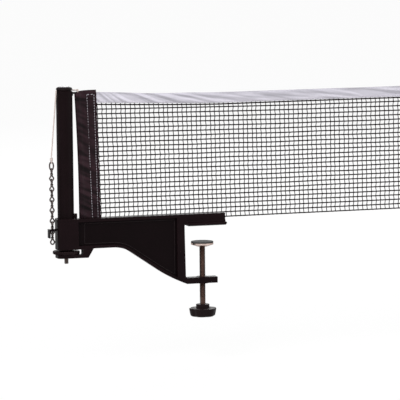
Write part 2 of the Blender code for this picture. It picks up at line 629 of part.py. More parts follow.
# ---------------------------------------------------------------- clamp screw group
def build_pressure_pad(axis, materials):
    """Dished pad, the washer that holds it on the screw, and its rubber facing."""
    hole = SCREW_TIP_R + RUNNING_GAP
    rim_bottom = PAD_BOTTOM_Z + PAD_CONE_HEIGHT
    inner_rim = PAD_R - PAD_RIM
    profile = [(hole, PAD_BOTTOM_Z), (PAD_FLOOR_R, PAD_BOTTOM_Z), (PAD_R, rim_bottom),
               (PAD_R, PAD_TOP_Z), (inner_rim, PAD_TOP_Z), (inner_rim, rim_bottom + PAD_RIM / 2),
               (PAD_FLOOR_R, PAD_FLOOR_Z), (hole, PAD_FLOOR_Z)]
    add_piece("pressure_pad", turned("pressure_pad", profile), materials["pad"], axis)
    washer_bottom = PAD_FLOOR_Z + SEAT_GAP
    washer_top = washer_bottom + WASHER_THICKNESS
    profile = [(hole, washer_bottom), (WASHER_R, washer_bottom), (WASHER_R, washer_top),
               (hole, washer_top)]
    add_piece("retaining_washer", turned("retaining_washer", profile, FEW_SEGMENTS),
              materials["plated"], axis)
    facing = cylinder("pad_facing", PAD_R - PAD_FACING_INSET, FACING_BOTTOM_Z, FACING_TOP_Z)
    add_piece("pad_facing", facing, materials["rubber"], axis)


def build_clamp_screw(axis, plated):
    """Screw with a riveted tip above and two flats just over the knob."""
    head_bottom = PAD_FLOOR_Z + 2 * SEAT_GAP + WASHER_THICKNESS
    profile = [(0, SCREW_END_Z), (SCREW_R, SCREW_END_Z), (SCREW_R, SCREW_SHOULDER_Z),
               (SCREW_TIP_R, SCREW_SHOULDER_Z), (SCREW_TIP_R, head_bottom),
               (SCREW_TIP_HEAD_R, head_bottom), (SCREW_TIP_HEAD_R, head_bottom + SCREW_TIP_HEAD),
               (0, head_bottom + SCREW_TIP_HEAD)]
    screw = add_piece("clamp_screw", turned("clamp_screw", profile, FEW_SEGMENTS), plated, axis)
    near = SCREW_R - SCREW_FLAT_DEPTH
    low_z = KNOB_TOP_Z + SEAT_GAP
    for side in (-1, 1):
        low_x, high_x = sorted((side * near, side * 2 * SCREW_R))
        flat = box("screw_flat", (low_x, -2 * SCREW_R, low_z),
                   (high_x, 2 * SCREW_R, low_z + SCREW_FLAT_LENGTH))
        combine(screw, guide("screw_flat", flat), "DIFFERENCE")


def lobed_loop(scale, height):
    """Loop of the knob's outline with shallow finger lobes."""
    loop = []
    for index in range(KNOB_POINTS):
        angle = math.tau * index / KNOB_POINTS
        dip = KNOB_LOBE_DEPTH * (0.5 - 0.5 * math.cos(KNOB_LOBES * angle)) ** 2
        radius = (KNOB_R - dip) * scale
        loop.append((radius * math.cos(angle), radius * math.sin(angle), height))
    return loop


def round_loop(radius, height):
    """A circular loop with as many points as the lobed ones."""
    loop = []
    for index in range(KNOB_POINTS):
        angle = math.tau * index / KNOB_POINTS
        loop.append((radius * math.cos(angle), radius * math.sin(angle), height))
    return loop


def build_knob(axis, plastic, brass):
    """Lobed hand knob and the insert that grips the screw."""
    top = KNOB_BODY_TOP_Z
    loops = [round_loop(KNOB_HUB_R, KNOB_TOP_Z), round_loop(KNOB_HUB_R, top),
             lobed_loop(0.95, top)]
    for scale, share in ((1.0, 0.06), (0.99, 0.55), (0.955, 0.82), (0.88, 1.0)):
        loops.append(lobed_loop(scale, top - KNOB_HEIGHT * share))
    knob = add_piece("screw_knob", lofted("screw_knob", loops), plastic, axis)
    socket = cylinder("knob_socket", KNOB_INSERT_R + SEAT_GAP, KNOB_BOTTOM_Z + KNOB_SOCKET_FLOOR,
                      KNOB_TOP_Z + KNOB_HEIGHT, FEW_SEGMENTS)
    combine(knob, guide("knob_socket", socket), "DIFFERENCE")
    bottom = KNOB_BOTTOM_Z + KNOB_SOCKET_FLOOR + SEAT_GAP
    hole = SCREW_R + SEAT_GAP
    profile = [(KNOB_INSERT_R, bottom), (KNOB_INSERT_R, KNOB_TOP_Z), (hole, KNOB_TOP_Z),
               (hole, bottom)]
    add_piece("knob_insert", turned("knob_insert", profile, FEW_SEGMENTS), brass, axis)


# ---------------------------------------------------------------- cord and chain
def cord_route():
    """Centre line from the net's upper corner round the cap's neck down to the knot."""
    corner = sleeve_edge_x(SLEEVE_TOP_Z, 0)
    first = Vector((corner + CORD_OVERLAP, NET_Y,
                    SLEEVE_TOP_Z + SLEEVE_CROWN + CORD_R + SEAT_GAP))
    touch = math.acos(CORD_WRAP_R / (first.x - POST_X))
    leave = math.radians(CORD_LEAVES_GROOVE_DEG)
    points = [first]
    steps = 12
    for index in range(steps + 1):
        angle = touch + (leave - touch) * index / steps
        points.append(Vector((POST_X + CORD_WRAP_R * math.cos(angle),
                              POST_Y + CORD_WRAP_R * math.sin(angle), GROOVE_Z)))
    heading = Vector((-math.sin(leave), math.cos(leave), 0))
    turn = points[-1] + heading * CORD_REACH
    points.append(points[-1] + heading * CORD_REACH / 2)
    for degrees in (0, 22, 45, 68):
        angle = math.radians(degrees)
        points.append(turn + heading * CORD_BEND_R * math.sin(angle)
                      - Vector((0, 0, CORD_BEND_R * (1 - math.cos(angle)))))
    end = Vector((CHAIN_X, CHAIN_Y, KNOT_BOTTOM_Z + KNOT_HEIGHT + SEAT_GAP))
    start = points[-1]
    for share in (0.08, 0.2, 0.4, 0.6, 0.8, 1.0):
        points.append(start.lerp(end, share))
    return points


def link_points():
    """Closed centre line of one double-loop link: upper loop in YZ, lower loop in XZ."""
    straight = LINK_HALF_HEIGHT - LINK_END_HEIGHT
    strand = []
    for degrees in (0, 30, 60, 90):
        angle = math.radians(degrees)
        strand.append((LINK_HALF_WIDTH * math.sin(angle),
                       straight + LINK_END_HEIGHT * math.cos(angle)))
    strand.append((0.5 * (LINK_HALF_WIDTH + LINK_WAIST_R), (straight + LINK_WAIST_HALF) / 2))
    waist_steps = 6
    for index in range(waist_steps + 1):
        strand.append((LINK_WAIST_R, LINK_WAIST_HALF * (1 - 2 * index / waist_steps)))
    strand += [(width, -height) for width, height in strand[4::-1]]
    points = []
    for side, half in ((1, strand), (-1, strand[-2:0:-1])):
        for width, height in half:
            share = (LINK_WAIST_HALF - height) / (2 * LINK_WAIST_HALF)
            turn = math.radians(90 + LINK_TWIST_DEG * min(1.0, max(0.0, share)))
            points.append((side * width * math.cos(turn), side * width * math.sin(turn), height))
    return points


def build_chain(chain):
    """Seven equal links and the oval ring that joins them to the cord."""
    data = tube_curve("chain_link", link_points(), WIRE_R, 1, cyclic=True)
    data.materials.append(chain)
    for index in range(LINK_COUNT):
        link = bpy.data.objects.new(f"chain_link_{index + 1}", data)
        link.location = (CHAIN_X, CHAIN_Y, FIRST_LINK_Z - index * LINK_PITCH)
        bpy.context.collection.objects.link(link)
    oval = []
    for index in range(20):
        angle = math.tau * index / 20
        oval.append((LINK_HALF_WIDTH * math.cos(angle), 0, RING_HALF_HEIGHT * math.sin(angle)))
    ring = tube_curve("connecting_ring", oval, WIRE_R, 1, cyclic=True)
    add_piece("connecting_ring", ring, chain, None, (CHAIN_X, CHAIN_Y, RING_Z))


def build_cord(axis, cord):
    """Tension cord and the knot that holds the ring."""
    route = [point - axis.matrix_world.translation for point in cord_route()]
    data = tube_curve("tension_cord", route, CORD_R, 2)
    add_piece("tension_cord", data, cord, axis, (POST_X, POST_Y, 0))
    profile = []
    for degrees in range(-90, 91, 30):
        angle = math.radians(degrees)
        profile.append((KNOT_R * math.cos(angle) if abs(degrees) < 90 else 0.0,
                        KNOT_HEIGHT / 2 * (1 + math.sin(angle))))
    add_piece("cord_knot", turned("cord_knot", profile, 16), cord, None,
              (CHAIN_X, CHAIN_Y, KNOT_BOTTOM_Z))


# ---------------------------------------------------------------- net
def tape_top(x):
    """Height of the tape's upper edge, which comes down from the post to the table."""
    near = SLEEVE_FOOT_X + SLEEVE_WIDTH
    share = max(0.0, (TAPE_LEVEL_X - x) / (TAPE_LEVEL_X - near))
    return NET_TOP_Z + TAPE_RISE * share ** 1.3


def sleeve_edge_x(z, side):
    """X of the leaning end sleeve's edge at a height; side 0 is outer, 1 is inner."""
    lean = SLEEVE_LEAN * (z - SLEEVE_FOOT_Z) / (SLEEVE_TOP_Z - SLEEVE_FOOT_Z)
    return SLEEVE_FOOT_X + side * SLEEVE_WIDTH - lean


def slab(name, outline, thickness):
    """A flat piece of the net's plane, as thick as said."""
    return prism(name, outline, NET_Y - thickness / 2, NET_Y + thickness / 2)


def cut_rod_channel(piece, name, foot, head):
    """Cut the pocket that the stiffening rod slides into, open at its lower end."""
    direction = head - foot
    channel = cylinder(name, ROD_R + SEAT_GAP, -SLEEVE_THICKNESS, direction.length + SEAT_GAP,
                       FEW_SEGMENTS)
    helper = guide(name, channel, foot)
    helper.rotation_mode = "QUATERNION"
    helper.rotation_quaternion = Vector((0, 0, 1)).rotation_difference(direction)
    combine(piece, helper, "DIFFERENCE")


def add_rod(name, material, parent, foot, head):
    """A straight stiffening rod between two points."""
    direction = head - foot
    rod = add_piece(name, cylinder(name, ROD_R, 0, direction.length, 12), material, parent, foot)
    rod.rotation_mode = "QUATERNION"
    rod.rotation_quaternion = Vector((0, 0, 1)).rotation_difference(direction)


def build_end_sleeve(axis, sleeve, rod):
    """Satin sleeve beside the post with its stiffening rod."""
    top = SLEEVE_TOP_Z
    left, right = sleeve_edge_x(top, 0), sleeve_edge_x(top, 1)
    outline = [(sleeve_edge_x(SLEEVE_FOOT_Z, 0), SLEEVE_FOOT_Z),
               (sleeve_edge_x(SLEEVE_FOOT_Z, 1), SLEEVE_FOOT_Z), (right, top),
               ((left + 2 * right) / 3, top + SLEEVE_CROWN),
               ((2 * left + right) / 3, top + SLEEVE_CROWN), (left, top)]
    piece = add_piece("end_sleeve", slab("end_sleeve", outline, SLEEVE_THICKNESS), sleeve, axis)
    foot = Vector((sleeve_edge_x(SLEEVE_FOOT_Z, 0) + ROD_INSET, NET_Y, SLEEVE_FOOT_Z + 1 * MM))
    head = Vector((left + ROD_INSET, NET_Y, top - 2 * MM))
    cut_rod_channel(piece, "rod_channel", foot, head)
    add_rod("stiffener_rod", rod, axis, foot, head)


def build_tape(axis, tape):
    """Folded tape along the net's upper edge."""
    steps = 24
    start = sleeve_edge_x(NET_TOP_Z, 1) + SEAT_GAP
    ends = [start + (NET_END_X - start) * index / steps for index in range(steps + 1)]
    outline = [(x, tape_top(x) - TAPE_HEIGHT) for x in ends]
    outline += [(x, tape_top(x)) for x in reversed(ends)]
    outline[-1] = (sleeve_edge_x(outline[-1][1], 1) + SEAT_GAP, outline[-1][1])
    outline[0] = (sleeve_edge_x(outline[0][1], 1) + SEAT_GAP, outline[0][1])
    add_piece("net_tape", slab("net_tape", outline, TAPE_THICKNESS), tape, axis)


def build_mesh(axis, thread):
    """The net's mesh as a flat lattice of bars with open squares."""
    bm = bmesh.new()
    columns = [0.0]
    span = NET_END_X - SLEEVE_FOOT_X - SLEEVE_WIDTH
    bar = MESH_BAR / span
    for index in range(MESH_COLUMNS + 1):
        centre = bar / 2 + (1 - bar) * index / MESH_COLUMNS
        columns += [centre - bar / 2, centre + bar / 2]
    columns = columns[1:]
    height = NET_TOP_Z - TAPE_HEIGHT - SEAT_GAP - NET_BOTTOM_Z
    rows = []
    thin = MESH_BAR / height
    for index in range(MESH_ROWS + 1):
        centre = thin / 2 + (1 - thin) * index / MESH_ROWS
        rows += [centre - thin / 2, centre + thin / 2]
    grid = []
    for v in rows:
        line = []
        for u in columns:
            z = NET_BOTTOM_Z + v * height
            left = sleeve_edge_x(z, 1) + SEAT_GAP
            x = left + (NET_END_X - left) * u
            top = tape_top(x) - TAPE_HEIGHT - SEAT_GAP
            z = NET_BOTTOM_Z + v * (top - NET_BOTTOM_Z)
            line.append(bm.verts.new((x, NET_Y - MESH_THICKNESS / 2, z)))
        grid.append(line)
    for row in range(len(rows) - 1):
        for column in range(len(columns) - 1):
            if row % 2 and column % 2:
                continue
            bm.faces.new((grid[row][column], grid[row][column + 1],
                          grid[row + 1][column + 1], grid[row + 1][column]))
    grown = bmesh.ops.extrude_face_region(bm, geom=bm.faces[:])
    back = [item for item in grown["geom"] if isinstance(item, bmesh.types.BMVert)]
    bmesh.ops.translate(bm, verts=back, vec=(0, MESH_THICKNESS, 0))
    add_piece("net_mesh", finish_mesh(bm, "net_mesh"), thread, axis)


def build_far_end(axis, materials):
    """Sleeve, rod and cord loop that end the net on the table's side."""
    start = NET_END_X + SEAT_GAP
    end = start + SLEEVE_WIDTH
    outline = rectangle((start, SLEEVE_FOOT_Z), (end, NET_TOP_Z + SLEEVE_CROWN))
    piece = add_piece("far_sleeve", slab("far_sleeve", outline, SLEEVE_THICKNESS),
                      materials["sleeve"], axis)
    x = end - ROD_INSET
    foot = Vector((x, NET_Y, SLEEVE_FOOT_Z + 1 * MM))
    head = Vector((x, NET_Y, NET_TOP_Z - 2 * MM))
    cut_rod_channel(piece, "far_rod_channel", foot, head)
    add_rod("far_rod", materials["rod"], axis, foot, head)
    loop = []
    for index in range(20):
        angle = math.tau * index / 20
        loop.append((1.6 * FAR_LOOP_R * math.cos(angle), 0, FAR_LOOP_R * math.sin(angle)))
    centre_x = end + SEAT_GAP + CORD_R + 1.6 * FAR_LOOP_R
    data = tube_curve("far_loop", loop, CORD_R, 2, cyclic=True)
    add_piece("far_loop", data, materials["cord"], axis,
              (centre_x, NET_Y, NET_TOP_Z - TAPE_HEIGHT / 2))


def main():
    """Build every piece on the axis that it moves with."""
    clear_scene()
    materials = make_materials()
    post_axis = make_axis("post_height_axis", (POST_X, POST_Y, 0))
    wheel_axis = make_axis("wheel_turn_axis", (POST_X, POST_Y, SLOT_TOP_Z))
    pad_axis = make_axis("clamp_travel_axis", (0, 0, PAD_BOTTOM_Z))
    screw_axis = make_axis("clamp_screw_axis", (0, 0, SCREW_SHOULDER_Z), pad_axis)

    build_casting(materials["paint"])
    build_jaw_pad(materials["rubber"])
    build_guide_bush(materials["plastic"])
    build_stud_bush(materials["brass"])
    build_wheel(wheel_axis, materials["plastic"], materials["brass"])
    build_post(post_axis, materials)
    build_pressure_pad(pad_axis, materials)
    build_clamp_screw(screw_axis, materials["plated"])
    build_knob(screw_axis, materials["plastic"], materials["brass"])
    build_chain(materials["chain"])
    build_cord(post_axis, materials["cord"])
    build_end_sleeve(post_axis, materials["sleeve"], materials["rod"])
    build_tape(post_axis, materials["tape"])
    build_mesh(post_axis, materials["mesh"])
    build_far_end(post_axis, materials)


main()
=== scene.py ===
"""Looks of a table tennis net clamp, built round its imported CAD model.

All lengths are metres in the CAD frame: +X along the net towards the middle of the table,
+Y away from the viewer of the front face, +Z up along the post.
"""

import logging
import math
import random
from dataclasses import dataclass, field
from enum import Enum
from typing import Callable, Dict, List, Optional, Sequence, Tuple, Union

import bpy
from mathutils import Matrix, Vector, noise


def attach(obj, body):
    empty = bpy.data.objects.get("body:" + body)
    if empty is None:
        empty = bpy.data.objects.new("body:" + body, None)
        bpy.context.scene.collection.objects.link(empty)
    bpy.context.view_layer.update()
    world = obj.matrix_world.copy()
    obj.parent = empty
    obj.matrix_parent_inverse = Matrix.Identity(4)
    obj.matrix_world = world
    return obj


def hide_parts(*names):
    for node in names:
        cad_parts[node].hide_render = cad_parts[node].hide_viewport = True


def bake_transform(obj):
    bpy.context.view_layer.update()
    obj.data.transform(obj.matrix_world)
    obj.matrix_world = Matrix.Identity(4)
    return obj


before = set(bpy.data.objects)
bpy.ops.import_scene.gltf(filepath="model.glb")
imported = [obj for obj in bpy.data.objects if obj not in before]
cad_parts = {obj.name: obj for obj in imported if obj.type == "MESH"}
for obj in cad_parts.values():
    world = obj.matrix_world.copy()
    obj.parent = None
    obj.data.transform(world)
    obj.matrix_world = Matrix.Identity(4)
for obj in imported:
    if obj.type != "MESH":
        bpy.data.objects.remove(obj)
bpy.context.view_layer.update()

LOG = logging.getLogger("net_clamp")
logging.basicConfig(level=logging.INFO, format="%(message)s")

Thing = bpy.types.Object
Colour = Tuple[float, float, float]
Point = Tuple[float, float, float]
Pairs = List[Tuple[float, float]]
Line = List[Vector]
Faces = List[List[int]]

MM = 0.001
WHITE = (1.0, 1.0, 1.0, 1.0)
POST_X = -161.6 * MM
NET_Y = 7.5 * MM
SLEEVE_TOP_Z = 159.0 * MM
GAP = 0.3 * MM
CLOTH_THICKNESS = 0.3 * MM


class Body(Enum):
    """The CAD bodies that pieces ride on."""

    BRACKET = "bracket"
    SCREW = "clamp_screw"
    WHEEL = "wheel"
    POST = "post"


def clamp(value: float, low: float = 0.0, high: float = 1.0) -> float:
    """The value, kept between low and high."""
    return min(high, max(low, value))


def length_of(line: Sequence[Vector]) -> float:
    """The length of a line of points."""
    return sum((end - start).length for start, end in zip(line, line[1:]))


def sweep(steps: int, start: float, end: float,
          place: Callable[[float, float, float], Point]) -> Line:
    """Points at equal steps of an angle.

    Args:
        steps: number of steps from start to end.
        start: first angle, in radians.
        end: last angle.
        place: gives the point from the cosine, the sine and the share of the way.
    Returns:
        One point more than there are steps.
    """
    line = []
    for index in range(steps + 1):
        angle = start + (end - start) * index / steps
        line.append(Vector(place(math.cos(angle), math.sin(angle), index / steps)))
    return line


def link(name: str, data: bpy.types.ID) -> Thing:
    """Add an object with this data to the scene."""
    made = bpy.data.objects.new(name, data)
    bpy.context.scene.collection.objects.link(made)
    return made


# ---------------------------------------------------------------- shader expressions
class Socket:
    """A shader output that takes part in Python expressions."""

    def __init__(self, bench: "Bench", output: bpy.types.NodeSocket) -> None:
        """Keep the bench that makes nodes and the output that this stands for."""
        self.bench = bench
        self.output = output

    def _math(self, operation: str, first: "Value", second: "Value") -> "Socket":
        """Add one Math node and return its result."""
        return self.bench.node("Math", {0: first, 1: second}, operation=operation)

    def __add__(self, other: "Value") -> "Socket":
        """Self plus other."""
        return self._math("ADD", self, other)

    def __radd__(self, other: "Value") -> "Socket":
        """Other plus self."""
        return self._math("ADD", other, self)

    def __sub__(self, other: "Value") -> "Socket":
        """Self minus other."""
        return self._math("SUBTRACT", self, other)

    def __rsub__(self, other: "Value") -> "Socket":
        """Other minus self."""
        return self._math("SUBTRACT", other, self)

    def __mul__(self, other: "Value") -> "Socket":
        """Self times other."""
        return self._math("MULTIPLY", self, other)

    def __rmul__(self, other: "Value") -> "Socket":
        """Other times self."""
        return self._math("MULTIPLY", other, self)

    def peak(self, other: "Value") -> "Socket":
        """The larger of the two."""
        return self._math("MAXIMUM", self, other)

    def out(self, name: Union[str, int]) -> "Socket":
        """Another output of the same node."""
        return Socket(self.bench, self.output.node.outputs[name])


Value = Union[Socket, float, int, Sequence[float]]
Inputs = Dict[Union[str, int], Value]


class Bench:
    """Makes the nodes of one material or world."""

    def __init__(self, tree: bpy.types.NodeTree) -> None:
        """Start with an empty node tree."""
        self.tree = tree
        tree.nodes.clear()

    def node(self, kind: str, values: Optional[Inputs] = None, **settings: object) -> Socket:
        """Add one node.

        Args:
            kind: the node's type, without its prefix.
            values: numbers, colours or links for its sockets.
            settings: properties to set before the sockets.
        Returns:
            The node's first output in use; for a node without outputs, its first input.
        """
        made = self.tree.nodes.new("ShaderNode" + kind)
        for name, value in settings.items():
            setattr(made, name, value)
        for name, value in (values or {}).items():
            socket = made.inputs[name]
            if isinstance(value, Socket):
                self.tree.links.new(value.output, socket)
            else:
                socket.default_value = value
        shown = [output for output in made.outputs if output.enabled] or made.inputs
        return Socket(self, shown[0])

    def place(self) -> Socket:
        """The point on the object, in metres."""
        return self.node("TexCoord").out("Object")

    def stretched(self, scale: Point, turn: Point = (0.0, 0.0, 0.0)) -> Socket:
        """Object place, turned and scaled, for grain that runs one way."""
        return self.node("Mapping", {"Vector": self.place(), "Scale": scale, "Rotation": turn})

    def noise(self, scale: float, detail: float, roughness: float = 0.55,
              vector: Optional[Socket] = None) -> Socket:
        """Fractal noise from 0 to 1."""
        return self.node("TexNoise", {"Vector": vector or self.place(), "Scale": scale,
                                      "Detail": detail, "Roughness": roughness})

    def ridge(self, axis: str, scale: float, vector: Optional[Socket] = None) -> Socket:
        """Parallel sine ridges across an axis, from 0 to 1."""
        return self.node("TexWave", {"Vector": vector or self.place(), "Scale": scale,
                                     "Distortion": 0.4, "Detail": 1.0, "Detail Scale": 1.5},
                         wave_type="BANDS", bands_direction=axis, wave_profile="SIN").out("Fac")

    def spread(self, value: Socket, low: float = 0.0, high: float = 1.0, start: float = 0.3,
               end: float = 0.7) -> Socket:
        """Stretch the part of a value from start to end onto low to high."""
        return self.node("MapRange", {"Value": value, "From Min": start, "From Max": end,
                                      "To Min": low, "To Max": high})

    def cloud(self, scale: float, detail: float, low: float = 0.0, high: float = 1.0) -> Socket:
        """Soft patches from low to high."""
        return self.spread(self.noise(scale, detail), low, high)

    def blend(self, share: Value, first: Value, second: Value) -> Socket:
        """Mix two colours."""
        ends = [(*c, 1.0) if not isinstance(c, Socket) else c for c in (first, second)]
        return self.node("Mix", {0: share, 6: ends[0], 7: ends[1]}, data_type="RGBA").out(2)

    def edge(self, radius: float) -> Tuple[Socket, Socket]:
        """A normal rounded at edges, and a mask that is 1 on the rounded edge."""
        normal = self.node("Bevel", {"Radius": radius}, samples=6)
        plain = self.node("NewGeometry").out("Normal")
        same = self.node("VectorMath", {0: normal, 1: plain}, operation="DOT_PRODUCT")
        return normal, self.spread(same.out("Value"), start=0.985, end=0.80)

    def bump(self, height: Socket, depth: float, normal: Optional[Socket] = None) -> Socket:
        """Turn a 0 to 1 height into a normal; depth is in metres."""
        values: Inputs = {"Height": height, "Distance": depth, "Strength": 1.0}
        if normal:
            values["Normal"] = normal
        return self.node("Bump", values)


# ---------------------------------------------------------------- finishes
@dataclass(frozen=True)
class Finish:
    """What every finish has, and how its material is put together."""

    name: str
    colour: Colour
    roughness: float = 0.5
    metallic: float = 0.0
    specular: float = 0.5
    sheen: float = 0.0

    def build(self) -> bpy.types.Material:
        """Make the material once; later calls return the same one."""
        known = bpy.data.materials.get(self.name)
        if known:
            return known
        material = bpy.data.materials.new(self.name)
        material.use_nodes = True
        bench = Bench(material.node_tree)
        values: Inputs = {
            "Base Color": (*self.colour, 1.0), "Roughness": self.roughness,
            "Metallic": self.metallic, "Specular IOR Level": self.specular,
            "Sheen Weight": self.sheen}
        values.update(self.surface(bench))
        bench.node("OutputMaterial", {"Surface": bench.node("BsdfPrincipled", values)})
        material.diffuse_color = (*self.colour, 1.0)
        return material

    def surface(self, bench: Bench) -> Inputs:
        """What changes over the surface; each finish says its own."""
        raise NotImplementedError

    def lit(self, factor: float) -> Colour:
        """The finish's colour made lighter or darker."""
        red, green, blue = (min(1.0, part * factor) for part in self.colour)
        return red, green, blue


@dataclass(frozen=True)
class Coated(Finish):
    """Powder coat or moulded plastic: orange peel, soft mottling and a painted highlight on
    rounded edges.
    """

    grain: float = 2200.0
    grain_depth: float = 0.02 * MM
    edge_radius: float = 0.45 * MM
    # how much lighter the painted highlight on rounded edges is
    edge_highlight_gain: float = 5.0

    def surface(self, bench: Bench) -> Inputs:
        """Fine grain over rounded edges, with a painted highlight along them, broken up in
        patches.
        """
        normal, edge = bench.edge(self.edge_radius)
        base = bench.blend(bench.cloud(38.0, 4.0), self.lit(0.8), self.lit(1.25))
        # painted highlight: rounded edges are lightened in noise patches, standing in for light
        # caught on them
        edge_highlight = bench.cloud(190.0, 4.0, 0.25) * edge
        colour = bench.blend(edge_highlight, base, self.lit(self.edge_highlight_gain))
        fine = bench.noise(self.grain, 2.0)
        rough = bench.cloud(70.0, 3.0, self.roughness - 0.06, self.roughness + 0.07)
        return {"Base Color": colour, "Roughness": rough,
                "Normal": bench.bump(fine, self.grain_depth, normal)}


@dataclass(frozen=True)
class CastCoat(Coated):
    """Powder coat on a casting, with painted shade in its recesses, which are darker than its
    proud faces.
    """

    shade_start_y: float = 6.0 * MM
    shade_full_y: float = 3.2 * MM

    def surface(self, bench: Bench) -> Inputs:
        """The coat, with painted shade between the rims."""
        values = super().surface(bench)
        # painted shade: faces set back towards the middle plane, in the recesses, are darker
        parts = bench.node("SeparateXYZ", {0: bench.place()})
        depth = bench.node("Math", {0: parts.out("Y")}, operation="ABSOLUTE")
        recess_shade = bench.spread(depth, start=self.shade_start_y, end=self.shade_full_y)
        values["Base Color"] = bench.blend(recess_shade * 0.8, values["Base Color"], self.lit(0.45))
        return values


@dataclass(frozen=True)
class Rubber(Finish):
    """Matt rubber with fine ribs."""

    def surface(self, bench: Bench) -> Inputs:
        """Fine cross ribs and dust."""
        dust = bench.cloud(120.0, 4.0)
        ribs = bench.ridge("X", 900.0).peak(bench.ridge("Y", 900.0))
        return {"Base Color": bench.blend(dust, self.lit(0.8), self.lit(1.7)),
                "Normal": bench.bump(ribs, 0.06 * MM)}


@dataclass(frozen=True)
class Turned(Finish):
    """Plated or bare metal with turning marks, faint stains and painted shade toward its outline.
    """

    stain: Colour = (0.2, 0.12, 0.09)
    stained: float = 0.35
    lines: float = 1500.0
    # colour of the painted shade toward the outline, standing in for dark reflections
    rim: Colour = (0.05, 0.04, 0.035)

    def surface(self, bench: Bench) -> Inputs:
        """Turning lines, smears, rounded edges, and painted shade where the surface turns away
        from the camera.
        """
        normal, _edge = bench.edge(0.2 * MM)
        smear = bench.spread(bench.noise(210.0, 5.0, 0.65), 0.0, self.stained)
        # painted shade: the colour turns to the rim colour where the surface faces away from the
        # camera
        facing = bench.node("LayerWeight", {"Blend": 0.35}).out("Facing")
        away = bench.spread(facing, start=0.06, end=0.55)
        colour = bench.blend(away, bench.blend(smear, self.colour, self.stain), self.rim)
        marks = bench.noise(1.0, 2.0, 0.6, bench.stretched((90.0, 90.0, self.lines)))
        rough = bench.cloud(330.0, 3.0, self.roughness - 0.08, self.roughness + 0.12)
        return {"Base Color": colour, "Roughness": rough,
                "Normal": bench.bump(marks, 0.01 * MM, normal)}


@dataclass(frozen=True)
class Yarn(Finish):
    """Twisted or braided thread: slanting ribs and fuzz."""

    ribs: float = 700.0
    depth: float = 0.12 * MM

    def surface(self, bench: Bench) -> Inputs:
        """Slanting ribs both ways, with painted shade between the strands."""
        one, two = (bench.ridge("X", self.ribs, bench.stretched((1.0, 1.0, 1.0), turn))
                    for turn in ((0.0, 0.7, 0.5), (0.0, -0.7, -0.5)))
        braid = one * two
        cloud = bench.cloud(260.0, 3.0, 0.0, 0.6)
        # painted shade: the colour is darker where the strands dip
        shaded_strands = bench.blend(braid, self.lit(0.62), self.lit(1.1))
        return {"Base Color": bench.blend(cloud, shaded_strands, self.lit(0.85)),
                "Normal": bench.bump(braid, self.depth)}


@dataclass(frozen=True)
class Woven(Finish):
    """Woven cloth: fine warp and weft, soft shine, and painted light and shade on its folds."""

    thread: float = 420.0
    depth: float = 0.05 * MM
    # colour factors of the painted light on upward folds and of the painted shade elsewhere
    fold_light: float = 1.5
    shade: float = 0.7
    streak: Point = (14.0, 14.0, 60.0)
    slant: float = 0.6

    def surface(self, bench: Bench) -> Inputs:
        """Weave, painted light where the cloth faces up, and slanting painted streaks of shine in
        faint clouds.
        """
        weave = bench.ridge("X", self.thread).peak(bench.ridge("Z", self.thread))
        folds = bench.noise(1.0, 3.0, 0.5, bench.stretched(self.streak, (0.0, self.slant, 0.0)))
        # painted light and shade: the colour is lighter where folds face up, and in slanting
        # painted streaks of shine
        lit_share = bench.node("Attribute", attribute_name="lit_share").out("Fac")
        share = lit_share * 0.75 + bench.spread(folds, 0.0, 0.25)
        tone = bench.blend(share, self.lit(self.shade), self.lit(self.fold_light))
        colour = bench.blend(weave * 0.3, tone, self.lit(0.7))
        rough = bench.spread(folds, self.roughness + 0.08, self.roughness - 0.08)
        return {"Base Color": colour, "Roughness": rough,
                "Normal": bench.bump(weave, self.depth)}


@dataclass(frozen=True)
class Fibre(Finish):
    """Pultruded glass fibre with long streaks."""

    def surface(self, bench: Bench) -> Inputs:
        """Streaks along the rod."""
        streaks = bench.noise(1.0, 3.0, 0.6, bench.stretched((2600.0, 2600.0, 40.0)))
        share = bench.spread(streaks)
        return {"Base Color": bench.blend(share, self.lit(0.8), self.lit(1.15)),
                "Normal": bench.bump(streaks, 0.02 * MM)}


PAINT = CastCoat("black_powder_coat", (0.0068, 0.0030, 0.0038), 0.42, specular=0.045,
                 grain=1700.0, grain_depth=0.018 * MM, edge_highlight_gain=7.0)
# the bead's coat is painted lighter than the casting's, as a painted highlight along it
BEAD_PAINT_HIGHLIGHT = Coated("black_coat_painted_highlight_beads", (0.0150, 0.0100, 0.0110), 0.40, specular=0.08,
                    grain=1700.0, grain_depth=0.018 * MM, edge_highlight_gain=3.0)
POST_PAINT = Coated("black_post_paint", (0.0056, 0.0024, 0.0030), 0.46, specular=0.045,
                    grain=2600.0, grain_depth=0.01 * MM, edge_highlight_gain=4.0)
MOULDED = Coated("black_moulded_plastic", (0.0085, 0.0042, 0.0048), 0.5, specular=0.07,
                 grain=3000.0, grain_depth=0.015 * MM, edge_highlight_gain=5.0)
# the cap's black top is painted pale grey as a painted reflection
CAP_FACE_REFLECTION = Coated("cap_face_painted_reflection", (0.40, 0.38, 0.40), 0.4, specular=0.4, grain=2600.0,
                 edge_highlight_gain=1.3)
PAD_RUBBER = Rubber("black_rubber", (0.0095, 0.0065, 0.0070), 0.85, specular=0.06)
BRASS = Turned("turned_brass", (0.62, 0.47, 0.22), 0.34, 1.0, rim=(0.14, 0.09, 0.03))
SCREW_STEEL = Turned("brown_plated_steel", (0.100, 0.060, 0.049), 0.36, 1.0, stained=0.6,
                     stain=(0.034, 0.018, 0.014), rim=(0.012, 0.005, 0.004))
STUD_STEEL = Turned("dull_stud_steel", (0.19, 0.15, 0.14), 0.42, 1.0, stained=0.5,
                    stain=(0.06, 0.045, 0.04), rim=(0.02, 0.012, 0.011))
PAD_STEEL = Turned("pressed_pad_steel", (0.62, 0.50, 0.455), 0.34, 1.0, stained=0.25,
                   stain=(0.30, 0.19, 0.15), rim=(0.36, 0.26, 0.22))
